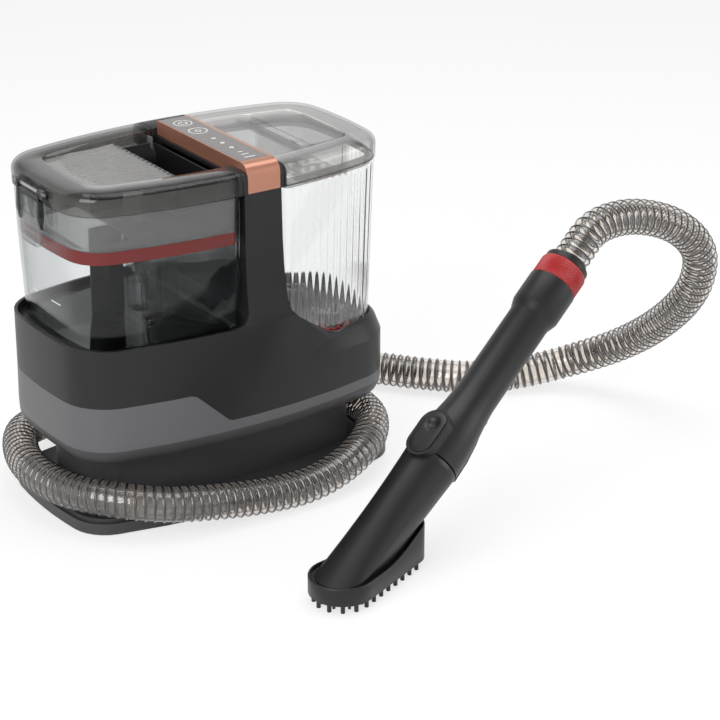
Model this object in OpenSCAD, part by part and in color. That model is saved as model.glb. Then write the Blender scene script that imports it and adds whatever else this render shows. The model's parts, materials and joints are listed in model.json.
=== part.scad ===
// Compact spot extractor: two lift-off tanks on a low body, a long ribbed
// suction hose wrapped round the neck, and a straight hand wand with a
// clip-on brush tool that stands on the floor in front.
// Origin: centre of the footprint on the floor. +X clean-tank end,
// -Y front, +Z up. Millimetres.

/* [Body] */
// Half length of the body outline along X
half_l = 165; // [150:1:180]
// Half width of the body outline along Y
half_w = 95.5; // [85:0.5:110]
// Radius of the long, gently bowed sides
side_r = 566; // [400:1:900]
// Radius of the two bowed ends
end_r = 422; // [300:1:700]
// Radius of the four upright corners
corner_r = 42; // [25:1:60]
// Height of the foot
foot_h = 16; // [10:1:24]
// Height where the lower grey shell starts above the neck
skirt_z = 69; // [60:1:80]
// Height of the deck under the dirty water tank
left_deck = 172; // [160:1:180]
// Height of the deck under the clean water tank
right_deck = 134; // [125:1:145]
// Height of the lid rims
lid_top = 325; // [300:1:340]
// Height of the carrying strip with the keys
strip_top = 332; // [310:1:345]

/* [Wall thicknesses] */
// Moulded housing walls
wall = 3; // [2:0.5:4]
// Clear tank walls
tank_wall = 2.5; // [2:0.5:3.5]

/* [Wand] */
// Wand foot point, X
wand_x = -20; // [-60:1:60]
// Wand foot point, Y
wand_y = -295; // [-340:1:-250]
// Heading of the wand about the vertical, degrees
wand_head = 16; // [0:1:45]
// Pitch of the wand above the floor, degrees
wand_pitch = 33; // [20:1:60]
// Outer diameter of the slim part of the handle
handle_d = 40; // [34:1:46]

/* [Hose] */
// Outside diameter over the ribs
hose_d = 35; // [30:1:40]
// Distance from one rib to the next
hose_pitch = 8; // [6:0.5:12]
// Inner radius of the hose
hose_bore_r = 12.5; // [10:0.5:14]

/* [Hidden] */
$fn = 48;
c_black = "#2b2b2d";
c_dark = "#3a3a3d";
c_grey = "#606165";
c_smoke = [0.42, 0.43, 0.45, 0.55];
c_clear = [0.80, 0.83, 0.86, 0.35];
c_red = "#c8202c";
c_copper = "#b87a5c";
c_metal = "#a9adb2";
c_board = "#1f5a3c";
side_c = half_w - side_r;
end_c = half_l - end_r;
foot_x = 118;
neck_wall_y = 60.5;
foot_y = 62;
port_x = -62;
in_y = -18.5;
air_y = 8.5;
motor_x = -107;
motor_y = 7;
valve_x = 115;
valve_y = -47;
floor_flange = 2;
latch_y = 4;
elbow_x = 35;
elbow_y = 71;
hose_z = 36;
hose_route = [
  [60, 96, 36], [96, 96, 36], [128, 86, 36], [151, 58, 36], [160, 16, 36],
  [160, -26, 36], [150, -66, 36], [122, -101, 34], [84, -119, 25], [40, -125, 18],
  [-10, -125, 20], [-60, -121, 26], [-104, -110, 31], [-142, -86, 36], [-168, -48, 37],
  [-177, 0, 37], [-170, 48, 37], [-148, 92, 36], [-112, 124, 27], [-64, 140, 19],
  [-10, 145, 18], [50, 146, 18], [110, 144, 18], [166, 132, 18], [212, 106, 18],
  [248, 70, 18], [280, 30, 18], [320, -8, 18], [366, -24, 18], [410, -50, 30],
  [438, -100, 60], [448, -150, 100], [449, -188, 144], [444, -203, 184], [422, -207, 214],
  [385, -205, 236], [340, -201, 245], [299, -204, 236], [271, -212, 217]];

// ---- plan outline -------------------------------------------------------
// The plan is four arcs joined by corner arcs, all offset by d together.
// y of the long side at x, offset d
function side_y(x, d) = sqrt((side_r + d) * (side_r + d) - x * x) + side_c;
// Arc of n steps about c
function arc(c, r, a, b, n) =
  [for (i = [0:n]) c + r * [cos(a + (b - a) * i / n), sin(a + (b - a) * i / n)]];
// All but the last item
function head(v) = [for (i = [0:len(v) - 2]) v[i]];
// Centre of the corner arc of radius rc that touches both long arcs
function corner_c(d, rc) =
  let(s = [0, side_c], e = [end_c, 0])
  let(r1 = side_r + d - rc, r2 = end_r + d - rc)
  let(v = e - s, l = norm(v))
  let(t = (r1 * r1 - r2 * r2 + l * l) / (2 * l))
  let(h = sqrt(r1 * r1 - t * t))
  s + v * t / l + [v[1], -v[0]] * h / l;
// Quarter outline from the end tip to the middle of the long side
function quad(d, rc) =
  let(s = [0, side_c], e = [end_c, 0], c = corner_c(d, rc))
  let(a1 = atan2(c[1] - e[1], c[0] - e[0]), a2 = atan2(c[1] - s[1], c[0] - s[0]))
  concat(
    head(arc(e, end_r + d, 0, a1, 3)),
    head(arc(c, rc, a1, a2, 6)),
    arc(s, side_r + d, a2, 90, 3));
// Whole outline at offset d
function outline(d, rc) =
  let(q = quad(d, rc), n = len(q))
  concat(
    q,
    [for (i = [n - 2:-1:0]) [-q[i][0], q[i][1]]],
    [for (i = [1:n - 1]) [-q[i][0], -q[i][1]]],
    [for (i = [n - 2:-1:1]) [q[i][0], -q[i][1]]]);
// Outline of the part right of x = xc, with corner radius rf at the flat wall
function right_part(d, rc, xc, rf) =
  let(s = [0, side_c], e = [end_c, 0], c = corner_c(d, rc))
  let(a1 = atan2(c[1] - e[1], c[0] - e[0]), a2 = atan2(c[1] - s[1], c[0] - s[0]))
  let(rs = side_r + d, fx = xc + rf)
  let(fy = side_c + sqrt((rs - rf) * (rs - rf) - fx * fx))
  let(a3 = atan2(fy - side_c, fx))
  let(q = concat(
    head(arc(e, end_r + d, 0, a1, 3)),
    head(arc(c, rc, a1, a2, 6)),
    head(arc(s, rs, a2, a3, 3)),
    arc([fx, fy], rf, a3, 180, 4)))
  concat(q, [for (i = [len(q) - 1:-1:1]) [q[i][0], -q[i][1]]]);
// The same for the part left of x = xc
function left_part(d, rc, xc, rf) =
  let(p = right_part(d, rc, -xc, rf))
  [for (i = [len(p) - 1:-1:0]) [-p[i][0], p[i][1]]];
// The right part with finer steps, every other point set inwards by g on the
// ends, corners and long sides, which makes the flutes of the clear wall
function fluted(d, g, xc, rf) =
  let(a = fine_part(d, xc, rf), b = fine_part(d - g, xc, rf))
  [for (i = [0:len(a) - 1]) a[i][0] > 52 && i % 2 == 1 ? b[i] : a[i]];
function fine_part(d, xc, rf) =
  let(rc = corner_r + d, s = [0, side_c], e = [end_c, 0], c = corner_c(d, rc))
  let(a1 = atan2(c[1] - e[1], c[0] - e[0]), a2 = atan2(c[1] - s[1], c[0] - s[0]))
  let(rs = side_r + d, fx = xc + rf)
  let(fy = side_c + sqrt((rs - rf) * (rs - rf) - fx * fx))
  let(a3 = atan2(fy - side_c, fx))
  let(q = concat(
    head(arc(e, end_r + d, 0, a1, 18)),
    head(arc(c, rc, a1, a2, 22)),
    head(arc(s, rs, a2, a3, 30)),
    arc([fx, fy], rf, a3, 180, 4)))
  concat(q, [for (i = [len(q) - 1:-1:1]) [q[i][0], -q[i][1]]]);
// Flat ring list at height z
function at_z(pts, z) = [for (p = pts) [p[0], p[1], z]];

// Front seam between the dark housing and the grey shell, softened at both bends
seam = concat(
  arc([-69.5, 110.5], 14, 90, 47.1, 4),
  arc([-25.1, 102], 10, 227.1, 270, 4));
// Share of the right-hand form at x: the housing changes from the upright
// left tray and column to the bevelled right tray between x 47 and 87
function share(x) = let(t = max(0, min(1, (x - 47) / 40))) t * t * (3 - 2 * t);
// Housing ring: height and offset on the left, and on the right
function housing_ring(zl, dl, zr, dr) =
  let(a = outline(dl, corner_r + dl), b = outline(dr, corner_r + dr))
  [for (i = [0:len(a) - 1]) let(w = share(a[i][0]))
    [a[i][0] * (1 - w) + b[i][0] * w, a[i][1] * (1 - w) + b[i][1] * w, zl * (1 - w) + zr * w]];

module up(z) {
  translate([0, 0, z]) children();
}
module prism(pts, h) {
  linear_extrude(height = h) polygon(pts);
}
// Cuboid by its ranges along X, Y and Z
module box(x, y, z) {
  translate([x[0], y[0], z[0]]) cube([x[1] - x[0], y[1] - y[0], z[1] - z[0]]);
}
module rod(r, h) {
  cylinder(r = r, h = h);
}
// Rod along +X, along +Y
module rod_x(r, h) {
  rotate([0, 90, 0]) cylinder(r = r, h = h);
}
module rod_y(r, h) {
  rotate([-90, 0, 0]) cylinder(r = r, h = h);
}
// An XZ profile extruded along Y over the range y
module side_profile(pts, y) {
  translate([0, y[1], 0]) rotate([90, 0, 0]) linear_extrude(height = y[1] - y[0]) polygon(pts);
}
// A YZ profile extruded along X over the range x
module end_profile(pts, x) {
  translate([x[0], 0, 0]) rotate([90, 0, 90]) linear_extrude(height = x[1] - x[0]) polygon(pts);
}
// Solid through rings of equal point count, capped at both ends
module loft(rings) {
  n = len(rings[0]);
  m = len(rings);
  polyhedron(
    points = [for (r = rings) each r],
    faces = concat(
      [[for (i = [0:n - 1]) i]],
      [for (k = [0:m - 2]) for (i = [0:n - 1])
        let(a = k * n + i, b = k * n + (i + 1) % n)
        each [[a, a + n, b + n], [a, b + n, b]]],
      [[for (i = [n - 1:-1:0]) (m - 1) * n + i]]),
    convexity = 10);
}
// Ring-shaped solid through a closed list of rings
module ring_loft(rings) {
  n = len(rings[0]);
  m = len(rings);
  polyhedron(
    points = [for (r = rings) each r],
    faces = [for (k = [0:m - 1]) for (i = [0:n - 1])
      let(a = k * n + i, b = k * n + (i + 1) % n)
      let(c = ((k + 1) % m) * n + i, d = ((k + 1) % m) * n + (i + 1) % n)
      each [[a, c, d], [a, d, b]]],
    convexity = 10);
}
// Stadium of half length l and radius r along X, height h
module pill(l, r, h) {
  hull() {
    translate([-l, 0, 0]) cylinder(r = r, h = h, $fn = 32);
    translate([l, 0, 0]) cylinder(r = r, h = h, $fn = 32);
  }
}
module feet_at() {
  children();
  for (x = [-foot_x, foot_x]) for (y = [-foot_y, foot_y]) translate([x, y, 0]) children();
}
module screws_at() {
  for (x = [-96, 96]) for (y = [-40, 40]) translate([x, y, 0]) children();
}

// ---- foot and neck ------------------------------------------------------
module foot_plate() color(c_dark) {
  difference() {
    union() {
      up(1.5) prism(outline(9, 38), foot_h - 5);
      up(foot_h - 3.5) prism(outline(5.5, 36), 3.5);
    }
    difference() {
      union() {
        up(1) prism(outline(6, 36), 8.5);
        up(9) prism(outline(2.5, 34), foot_h - 12);
      }
      feet_at() rod(15, foot_h);
      screws_at() rod(7, foot_h);
      for (x = [-140:28:140]) box([x - 1, x + 1], [-98, 98], [1.5, foot_h]);
      for (y = [-75:30:75]) box([-168, 168], [y - 1, y + 1], [1.5, foot_h]);
    }
    feet_at() rod(11.2, 4);
    screws_at() {
      rod(4.3, foot_h - 3.5);
      rod(2, 30);
    }
  }
}
module rubber_feet() color(c_black) {
  feet_at() {
    rod(11, 4);
  }
}
module housing_screws() color(c_metal) {
  screws_at() {
    up(foot_h - 5.9) rod(4, 2.4);
    up(foot_h - 4) rod(1.9, 14);
  }
}
module neck_shell() color(c_dark) {
  difference() {
    union() {
      difference() {
        up(foot_h) prism(outline(-25, 24), skirt_z - foot_h);
        up(foot_h - 1) prism(outline(-28, 21), skirt_z - foot_h + 2);
      }
      screws_at() up(foot_h) rod(5, 24);
      for (x = [-96, 96]) for (y = [-1, 1]) box([x - 1, x + 1],
        y > 0 ? [40, neck_wall_y] : [-neck_wall_y, -40], [foot_h, foot_h + 20]);
    }
    screws_at() up(foot_h - 1) rod(2, 22);
    for (x = [[23, 52], [63, 95]]) box(x, [-80, -60], [58.5, 61.5]);
    translate([elbow_x, 50, hose_z]) rod_y(18.6, 30);
    translate([-70, 50, 34]) rod_y(7.1, 30);
  }
}
module skirt_shell() color(c_grey) {
  difference() {
    intersection() {
      loft([for (r = [[0, skirt_z], [2.6, skirt_z + 2.5], [4.9, skirt_z + 7],
        [6.2, skirt_z + 13], [6.5, 92], [6, 124.5]]) at_z(outline(r[0], corner_r + r[0]), r[1])]);
      side_profile(concat([[-180, 60], [180, 60], [180, 92]],
        [for (i = [len(seam) - 1:-1:0]) seam[i]], [[-180, 124.5]]), [-120, 120]);
    }
    up(skirt_z + wall) prism(outline(-1, 41), 10);
    up(skirt_z + 10) prism(outline(3, 45), 50);
    translate([port_x, in_y, 60]) rod(11.2, 20);
    translate([elbow_x, 54, 60]) rod(3.2, 20);
  }
}
module upper_housing() color(c_black) {
  difference() {
    intersection() {
      loft([
        housing_ring(90, 6.5, 90, 6.5), housing_ring(124.5, 6, 129, 6.5),
        housing_ring(180, 6, 143.5, 1), housing_ring(194, 3.4, 146.5, -1.2),
        housing_ring(210, 1.2, 148, -3), housing_ring(232, 0, 160, -3),
        housing_ring(318, 0, 318, -3)]);
      side_profile(concat([[-180, 124.5]], seam, [[180, 92], [180, 148], [128, 148],
        [114, 147], [103, 145.6], [96, 146.4], [88, 149.4], [78, 155.6], [60, 168.6],
        [47, 178], [40.5, 185], [37.4, 194], [36.2, 206], [34, 256], [33, 318], [-6, 318],
        [-6, 192], [-8, 186], [-13, 182], [-22, 180], [-180, 180]]), [-120, 120]);
    }
    up(left_deck) prism(left_part(3, corner_r + 3, -6.2, 6), 160);
    up(right_deck) prism(right_part(-4.8, corner_r - 4.8, 35.5, 6), 200);
    up(right_deck - wall - 1) prism(right_part(-8, corner_r - 8, 40, 6), 10);
    up(80) prism(outline(6 - wall, corner_r + 3), right_deck - wall - 80);
    intersection() {
      up(120) prism(outline(6 - wall, corner_r + 3), left_deck - wall - 120);
      box([-180, 32], [-120, 120], [100, 200]);
    }
    intersection() {
      up(160) prism(outline(-3, 39), 122);
      box([-3, 30.5], [-120, 120], [150, 300]);
    }
    box([-10, 22], [-55, 55], [288, 314.5]);
    translate([port_x, in_y, 160]) rod(9.5, 20);
    translate([port_x, air_y, 160]) rod(9.5, 20);
    for (x = [50:10:120]) box([x, x + 4], [90, 110], [102, 126]);
    cable_way();
  }
}
// Cable way from the key board down into the column
module cable_way() {
  box([24.5, 28], [-6, 6], [270, 322]);
}
// Floor of the right tray with the water port, held up under its ledge
module tray_floor() color(c_black) {
  difference() {
    union() {
      up(right_deck - wall - floor_flange)
        prism(right_part(-5.5, corner_r - 5.5, 37.5, 6), floor_flange);
      up(right_deck - wall) prism(right_part(-8.3, corner_r - 8.3, 40.3, 6), wall);
    }
    translate([valve_x, valve_y, 120]) rod(4, 20);
  }
}
module copper_trim() color(c_copper) {
  difference() {
    intersection() {
      end_profile(concat(
        [[79, 318], [79, strip_top - 3]],
        arc([76, strip_top - 3], 3, 0, 90, 4),
        arc([-84.3, strip_top - 12], 12, 90, 180, 8),
        [[-96.3, 305], [-90, 305], [-90, 318]]), [-3, 31]);
      up(300) prism(outline(1.2, 43), 40);
    }
    up(290) prism(outline(0, 42), 28);
    box([0.5, 27.5], [-70, 72], [strip_top - 2, strip_top + 1]);
    box([1.5, 26.5], [-68, 70], [321, strip_top + 1]);
    box([24.5, 26.5], [-6, 6], [317, 330]);
  }
}
module panel_glass() color("#26262a") {
  box([0.5, 27.5], [-70, 72], [strip_top - 2, strip_top]);
}
module touch_board() color(c_board) {
  difference() {
    union() {
      box([2.5, 25.5], [-66, 68], [strip_top - 3.6, strip_top - 2]);
      for (y = [-50, -30, -10, 20, 49]) box([10, 18], [y - 4, y + 4], [326.6, 329]);
    }
    for (y = [-60, 62]) translate([14, y, 320]) rod(1.5, 20);
  }
}
module control_board() color(c_board) {
  box([21, 22.6], [-62, 62], [178, 262]);
  for (y = [-54, 54]) for (z = [188, 252]) translate([22.6, y, z]) rod_x(3, 7.9);
  box([12, 21], [-50, -20], [196, 226]);
  translate([13, 10, 210]) rod_x(9, 8);
  box([15, 21], [30, 54], [188, 214]);
  box([16, 21], [-40, -10], [236, 250]);
}

// ---- suction side -------------------------------------------------------
module vacuum_motor() color(c_metal) {
  translate([motor_x, motor_y, 0]) difference() {
    union() {
      up(72) rod(24, 4);
      up(76) rod(30, 42);
      for (a = [0:60:300]) rotate(a) box([29, 32], [-2, 2], [78, 112]);
    }
    up(96) rod(2.55, 40);
    for (a = [30:60:330]) rotate(a) box([18, 40], [-5, 5], [82, 90]);
  }
}
module fan_housing() color(c_dark) {
  translate([motor_x, motor_y, 0]) difference() {
    up(118) rod(34, 32);
    up(121) rod(31.5, 26);
    up(110) rod(6, 20);
    up(140) rod(9, 20);
    for (a = [0:30:330]) rotate(a + 15) box([25, 40], [-2.5, 2.5], [122, 132]);
  }
}
module fan_rotor() color(c_metal) {
  translate([motor_x, motor_y, 0]) {
    up(100) rod(2.5, 44);
    up(124) rod(8, 16);
    up(124) rod(28, 2);
    for (a = [0:40:320]) rotate(a) translate([7, 0, 126]) rotate([0, 0, 30]) cube([17, 1.6, 14]);
  }
}
module air_duct() color(c_dark) {
  difference() {
    box([-119, -50], [-5.5, 20.5], [150, left_deck - wall]);
    box([-117, -52], [-3.5, 18.5], [152, left_deck - wall - 2]);
    translate([motor_x, motor_y, 140]) rod(9, 20);
    translate([port_x, air_y, 160]) rod(9.5, 20);
  }
}
module pipe_run(r, grow) {
  translate([port_x, in_y, hose_z]) rod(r, left_deck - wall - hose_z + grow);
  translate([port_x, in_y, hose_z]) sphere(r = r);
  translate([port_x, in_y, hose_z]) rod_x(r, elbow_x - port_x);
  translate([elbow_x, in_y, hose_z]) sphere(r = r);
  translate([elbow_x, in_y, hose_z]) rod_y(r, 50 - in_y + grow);
}
module suction_pipe() color(c_dark) {
  difference() {
    pipe_run(11, 0);
    pipe_run(9.5, 1);
  }
}
module hose_elbow() color(c_black) {
  difference() {
    union() {
      translate([elbow_x, 50, hose_z]) rod_y(18.5, elbow_y - 50);
      translate([elbow_x + 25, elbow_y, hose_z]) rotate(90)
        rotate_extrude(angle = 90) translate([25, 0]) circle(r = 18.5);
      translate([elbow_x + 17, 96, hose_z]) rod_x(19.4, 8);
    }
    translate([elbow_x, 45, hose_z]) rod_y(9.5, elbow_y - 45);
    translate([elbow_x + 25, elbow_y, hose_z]) rotate(90)
      rotate_extrude(angle = 90) translate([25, 0]) circle(r = hose_bore_r);
    translate([elbow_x + 24.9, 96, hose_z]) rod_x(hose_bore_r, 2);
  }
}
module water_pump() color(c_dark) {
  box([80, 124], [30, 60], [72, 100]);
  translate([76, 54, 88]) rod_x(6, 5);
  translate([124, 45, 86]) rod_x(11, 14);
}
module heater() color(c_metal) {
  difference() {
    box([60, 130], [-62, -24], [72, 97]);
    for (x = [66:8:124]) box([x, x + 3], [-70, -54], [76, 93]);
    for (x = [66:8:124]) box([x, x + 3], [-32, -20], [76, 93]);
  }
}
module feed_tube() color(c_clear) {
  translate([valve_x, valve_y, 97]) difference() {
    rod(6, right_deck - wall - floor_flange - 97);
    up(-1) rod(4, 60);
  }
}
module solution_tube() color(c_clear) {
  translate([elbow_x, 54, 88]) rod_x(3, 76 - elbow_x);
  translate([elbow_x, 54, 88]) sphere(r = 3);
  translate([elbow_x, 54, 54.5]) rod(3, 33.5);
  translate([100, -24, 86]) rod_y(3, 54);
}
module mains_gland() color(c_black) {
  translate([-70, 0, 34]) {
    translate([0, 57.5, 0]) rod_y(7, 15.5);
    for (i = [0:3]) translate([0, 73 + i * 4, 0]) rod_y(6.4 - i * 0.7, 2.6);
    translate([0, 73, 0]) rod_y(3.8, 14);
    translate([0, 57.5, 0]) rod_y(9, 4);
  }
}

// ---- dirty water tank ---------------------------------------------------
module dirty_tank() color(c_clear) {
  difference() {
    loft([for (r = concat(
      [[-9, -13, 0, left_deck], [-6.4, -10.4, 0, left_deck + 1.6], [-5.2, -9.6, 0, left_deck + 5],
        [-1.5, -8.6, 0, 258], [-0.2, -8.2, 0, 304]],
      [[-0.2, -8.2, tank_wall, 304], [-1.5, -8.6, tank_wall, 258],
        [-5.2, -9.6, tank_wall, left_deck + 7], [-8.5, -12.5, tank_wall, left_deck + 3]]))
      at_z(left_part(r[0] - r[2], corner_r + r[0] - r[2], r[1] - r[2], r[2] > 0 ? 5 : 6), r[3])]);
    translate([port_x, in_y, 160]) rod(9.5, 20);
    translate([port_x, air_y, 160]) rod(9.5, 20);
    box([-20, 0], [-56, 61], [285, 310]);
  }
  box([-164.9, -162.4], [latch_y - 18, latch_y + 18], [271.2, 274]);
}
module dirty_riser() color(c_clear) {
  difference() {
    box([-85, -40], [-31, 21], [left_deck + 3, 236]);
    translate([port_x, in_y, 160]) rod(9.5, 70);
    translate([port_x, air_y, 160]) rod(9.5, 90);
    box([-90, -70], [in_y - 7, in_y + 7], [214, 230]);
    box([-83, -74], [-12, 19], [180, 232]);
    box([-50, -42], [-12, 19], [180, 232]);
  }
}
module float_cage() color(c_dark) {
  translate([port_x, air_y, 236]) difference() {
    union() {
      rod(15, 20);
    }
    up(2) rod(12.5, 16);
    up(-1) rod(8.5, 30);
    for (a = [0:60:300]) rotate(a) box([8, 20], [-4, 4], [3, 16]);
  }
}
module float() color(c_red) {
  translate([port_x, air_y, 238]) {
    difference() {
      rod(12, 6);
      up(-1) rod(2, 4);
    }
  }
}
module lid_separator() color(c_smoke) {
  difference() {
    union() {
      ring_loft([
        at_z(left_part(-4.5, 37, -11.9, 5), 270), at_z(left_part(-3.1, 39, -11.5, 5), 318.5),
        at_z(left_part(-5.1, 37, -13.5, 5), 318.5), at_z(left_part(-6.5, 35, -13.9, 5), 270)]);
      difference() {
        up(270) prism(left_part(-4.5, 37, -11.9, 5), 2.4);
        box([-150, -100], [-60, 60], [269, 274]);
        box([-40, -20], [-30, 30], [269, 274]);
      }
      translate([-88, -50, 270]) rod(14, 8);
      translate([-60, 66, 270]) rod(9, 8);
    }
    translate([-88, -50, 260]) rod(11, 16.4);
    box([-52.1, -5], [-55.1, 60.1], [285.9, 330]);
  }
}
module separator_seal() color(c_red) {
  difference() {
    up(258) prism(left_part(-4.4, 37, -11.8, 5), 12);
    up(257) prism(left_part(-8, 34, -15, 5), 14);
  }
}
// Smoked lid over the dirty tank: rim, recessed deck, ribbed slope
module dirty_lid() color(c_smoke) {
  difference() {
    union() {
      loft([
        at_z(left_part(0.8, 43, -8, 6), 304), at_z(left_part(1.2, 43, -8, 6), 307),
        at_z(left_part(0.8, 43, -8, 6), 321), at_z(left_part(-0.8, 41, -8.6, 6), 324),
        at_z(left_part(-3, 39, -10, 5), lid_top)]);
      for (y = [-26, 26]) box([-171, -163], [latch_y + y - 3, latch_y + y + 3], [311, 319]);
    }
    up(303) prism(left_part(-2.2, 40, -10.5, 5), 15.5);
    up(321.5) prism(left_part(-12, 31, -16, 5), 10);
    box([-52, -5], [-55, 60], [300, 330]);
    box([-129, -52], [-58.5, 58.5], [314, 330]);
    box([-200, -161.8], [latch_y - 23, latch_y + 23], [310, 318.4]);
    translate([-168, latch_y - 40, 315]) rod_y(1.5, 80);
  }
  side_profile([[-129, 318], [-129, 321.5], [-52, 319], [-52, 315.5]], [-58.5, 58.5]);
  for (k = [-7:7]) let(x = -129 + k * k * 0.32) side_profile([[x, 319], [x, 321.4],
    [x + 2, 322.5], [-53, 320], [-53, 317]], [k * 7.7 - 1.6, k * 7.7 + 1.6]);
}
// Black well under the opening beside the carrying strip
module grip_well() color(c_black) {
  difference() {
    box([-52, -8.2], [-55, 60], [286, 321.4]);
    box([-50, -5], [-53, 58], [288, 330]);
  }
}
module tank_latch() color(c_black) {
  difference() {
    union() {
      end_profile(concat(
        arc([latch_y - 13, 273], 9, 180, 270, 5), arc([latch_y + 13, 273], 9, -90, 0, 5),
        [[latch_y + 22.6, 312], [latch_y - 22.6, 312]]), [-170.6, -168]);
      for (y = [-22.6, 16.6]) side_profile([[-171, 317.8], [-165.2, 317.8], [-165.2, 311],
        [-166.8, 309.6], [-166.8, 303], [-166.4, 290], [-168.4, 280], [-170.2, 282],
        [-171, 288]], [latch_y + y, latch_y + y + 6]);
      box([-171, -165.2], [latch_y - 22.6, latch_y + 22.6], [312, 317.8]);
      box([-168, -165.3], [latch_y - 17, latch_y + 17], [268, 271]);
      side_profile([[-168, 268], [-168, 271], [-170.6, 274], [-173.4, 262], [-171.4, 262]],
        [latch_y - 11, latch_y + 11]);
    }
    box([-172, -164], [latch_y - 10, latch_y + 10], [290, 306]);
    translate([-168, latch_y - 40, 315]) rod_y(1.55, 80);
  }
}
module latch_pin() color(c_metal) {
  translate([-168, latch_y - 29, 315]) rod_y(1.5, 58);
}

// ---- clean water tank ---------------------------------------------------
module clean_tank() color(c_clear) {
  difference() {
    union() {
      loft(concat(
        [for (r = [[-10, 42, right_deck], [-7.6, 39.4, right_deck + 1.4],
          [-6.5, 38.6, right_deck + 4], [-0.4, 37, 304]])
          at_z(fluted(r[0], 0, r[1], 6), r[2])],
        [for (r = [[-0.4, 39.5, 304, 0], [-0.5, 39.5, 299, 0], [-0.6, 39.6, 296, 1.1],
          [-6.3, 41, right_deck + 9, 1.1], [-6.4, 41.1, right_deck + 6, 0],
          [-9.6, 45, right_deck + 3, 0]])
          at_z(fluted(r[0] - tank_wall, r[3], r[1], 5), r[2])]));
      for (x = [-18.5, 15.5]) box([valve_x + x, valve_x + x + 3], [valve_y - 3, valve_y + 3],
        [right_deck + 2, 155]);
      box([valve_x - 18.5, valve_x + 18.5], [valve_y - 3, valve_y + 3], [152.6, 155]);
    }
    translate([valve_x, valve_y, 120]) rod(8, 30);
    translate([valve_x, valve_y, 145]) rod(2.8, 30);
  }
}
module valve_seal() color(c_red) {
  translate([valve_x, valve_y, right_deck + 3]) difference() {
    rod(15, 4);
    up(-1) rod(8, 8);
  }
}
module valve_poppet() color(c_black) {
  translate([valve_x, valve_y, 0]) {
    up(right_deck + 7) rod(12, 2.5);
    up(right_deck + 0.6) rod(7, 6.5);
    up(right_deck + 9) rod(2.5, 16);
  }
}
module valve_spring() color(c_metal) {
  translate([valve_x, valve_y, right_deck + 9.5]) difference() {
    rod(5, 9);
    up(-1) rod(4, 12);
  }
}
// Smoked lid over the clean tank, with the filling opening
module clean_lid() color(c_smoke) {
  difference() {
    loft([
      at_z(right_part(0.8, 43, 36, 6), 304), at_z(right_part(1.2, 43, 36, 6), 307),
      at_z(right_part(0.8, 43, 36, 6), 321), at_z(right_part(-0.8, 41, 36.6, 6), 324),
      at_z(right_part(-3, 39, 38, 5), lid_top)]);
    up(303) prism(right_part(-5, 37, 42, 5), 15.5);
    up(321.5) prism(right_part(-12, 31, 44, 5), 10);
    box([89, 142], [-41, 41], [300, 330]);
    box([80, 92], [-46, 46], [320, 330]);
  }
  difference() {
    for (y = [-50, 44]) box([80, 87], [y, y + 6], [321.4, 324.8]);
    translate([83.5, -60, 322.9]) rod_y(1, 120);
  }
}
module lid_basin() color(c_smoke) {
  difference() {
    union() {
      box([86.5, 145.5], [-45, 45], [316, 318.5]);
      box([89, 142], [-41, 41], [282, 318]);
    }
    box([91, 140], [-39, 39], [284, 320]);
    for (x = [97, 109, 121, 133]) for (y = [-30, -10, 10, 30]) translate([x, y, 280]) rod(3.4, 8);
  }
}
module clean_lid_seal() color(c_black) {
  up(300.5) difference() {
    prism(right_part(-3.5, 38.5, 40.3, 5), 3.4);
    up(-1) prism(right_part(-6.2, 36, 42.8, 4), 6);
  }
  up(303.9) difference() {
    prism(right_part(-5.1, 37, 42.1, 5), 5);
    up(-1) prism(right_part(-6.2, 36, 43.2, 4), 7);
  }
}
module fill_flap() color(c_smoke) {
  difference() {
    union() {
      box([86, 147], [-43.6, 43.6], [321.6, 324]);
      translate([83.5, -43.6, 322.9]) rod_y(2.2, 87.2);
      box([83.5, 90], [-43.6, 43.6], [321.6, 323.4]);
      box([138, 146], [-12, 12], [324, 325]);
    }
    translate([83.5, -60, 322.9]) rod_y(1.03, 120);
  }
}
module flap_pin() color(c_metal) {
  translate([83.5, -49, 322.9]) rod_y(1, 98);
}

// ---- hose ---------------------------------------------------------------
// Smooth route: cubic through the points, tangents along the chord
// between neighbours, the first and last stretches straight.
hose_n = len(hose_route);
function unit(v) = v / norm(v);
function route_dir(i) =
  i <= 1 ? unit(hose_route[1] - hose_route[0])
  : i >= hose_n - 2 ? unit(hose_route[hose_n - 1] - hose_route[hose_n - 2])
  : unit(hose_route[i + 1] - hose_route[i - 1]);
function route_at(i, t) =
  let(p = hose_route[i], q = hose_route[i + 1])
  let(l = norm(q - p), a = route_dir(i) * l, b = route_dir(i + 1) * l)
  p * (2 * t * t * t - 3 * t * t + 1) + a * (t * t * t - 2 * t * t + t)
  + q * (3 * t * t - 2 * t * t * t) + b * (t * t * t - t * t);
hose_fine = concat(
  [for (i = [0:hose_n - 2]) for (k = [0:9]) route_at(i, k / 10)],
  [hose_route[hose_n - 1]]);
hose_s = [for (i = 0, s = 0; i < len(hose_fine); i = i + 1,
  s = s + (i < len(hose_fine) ? norm(hose_fine[i] - hose_fine[i - 1]) : 0)) s];
hose_len = hose_s[len(hose_s) - 1];
hose_tx = [for (i = [0:len(hose_s) - 1]) [hose_s[i], hose_fine[i][0]]];
hose_ty = [for (i = [0:len(hose_s) - 1]) [hose_s[i], hose_fine[i][1]]];
hose_tz = [for (i = [0:len(hose_s) - 1]) [hose_s[i], hose_fine[i][2]]];
function hose_p(s) = [lookup(s, hose_tx), lookup(s, hose_ty), lookup(s, hose_tz)];
function hose_ring(s, r) =
  let(a = max(0, s - 5), b = min(hose_len, s + 5))
  let(t = unit(hose_p(b) - hose_p(a)))
  let(e = unit(cross(t, [0, 0, 1])), f = cross(t, e), p = hose_p(s))
  [for (k = [0:7]) p + r * (cos(45 * k + 22.5) * e + sin(45 * k + 22.5) * f)];
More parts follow.
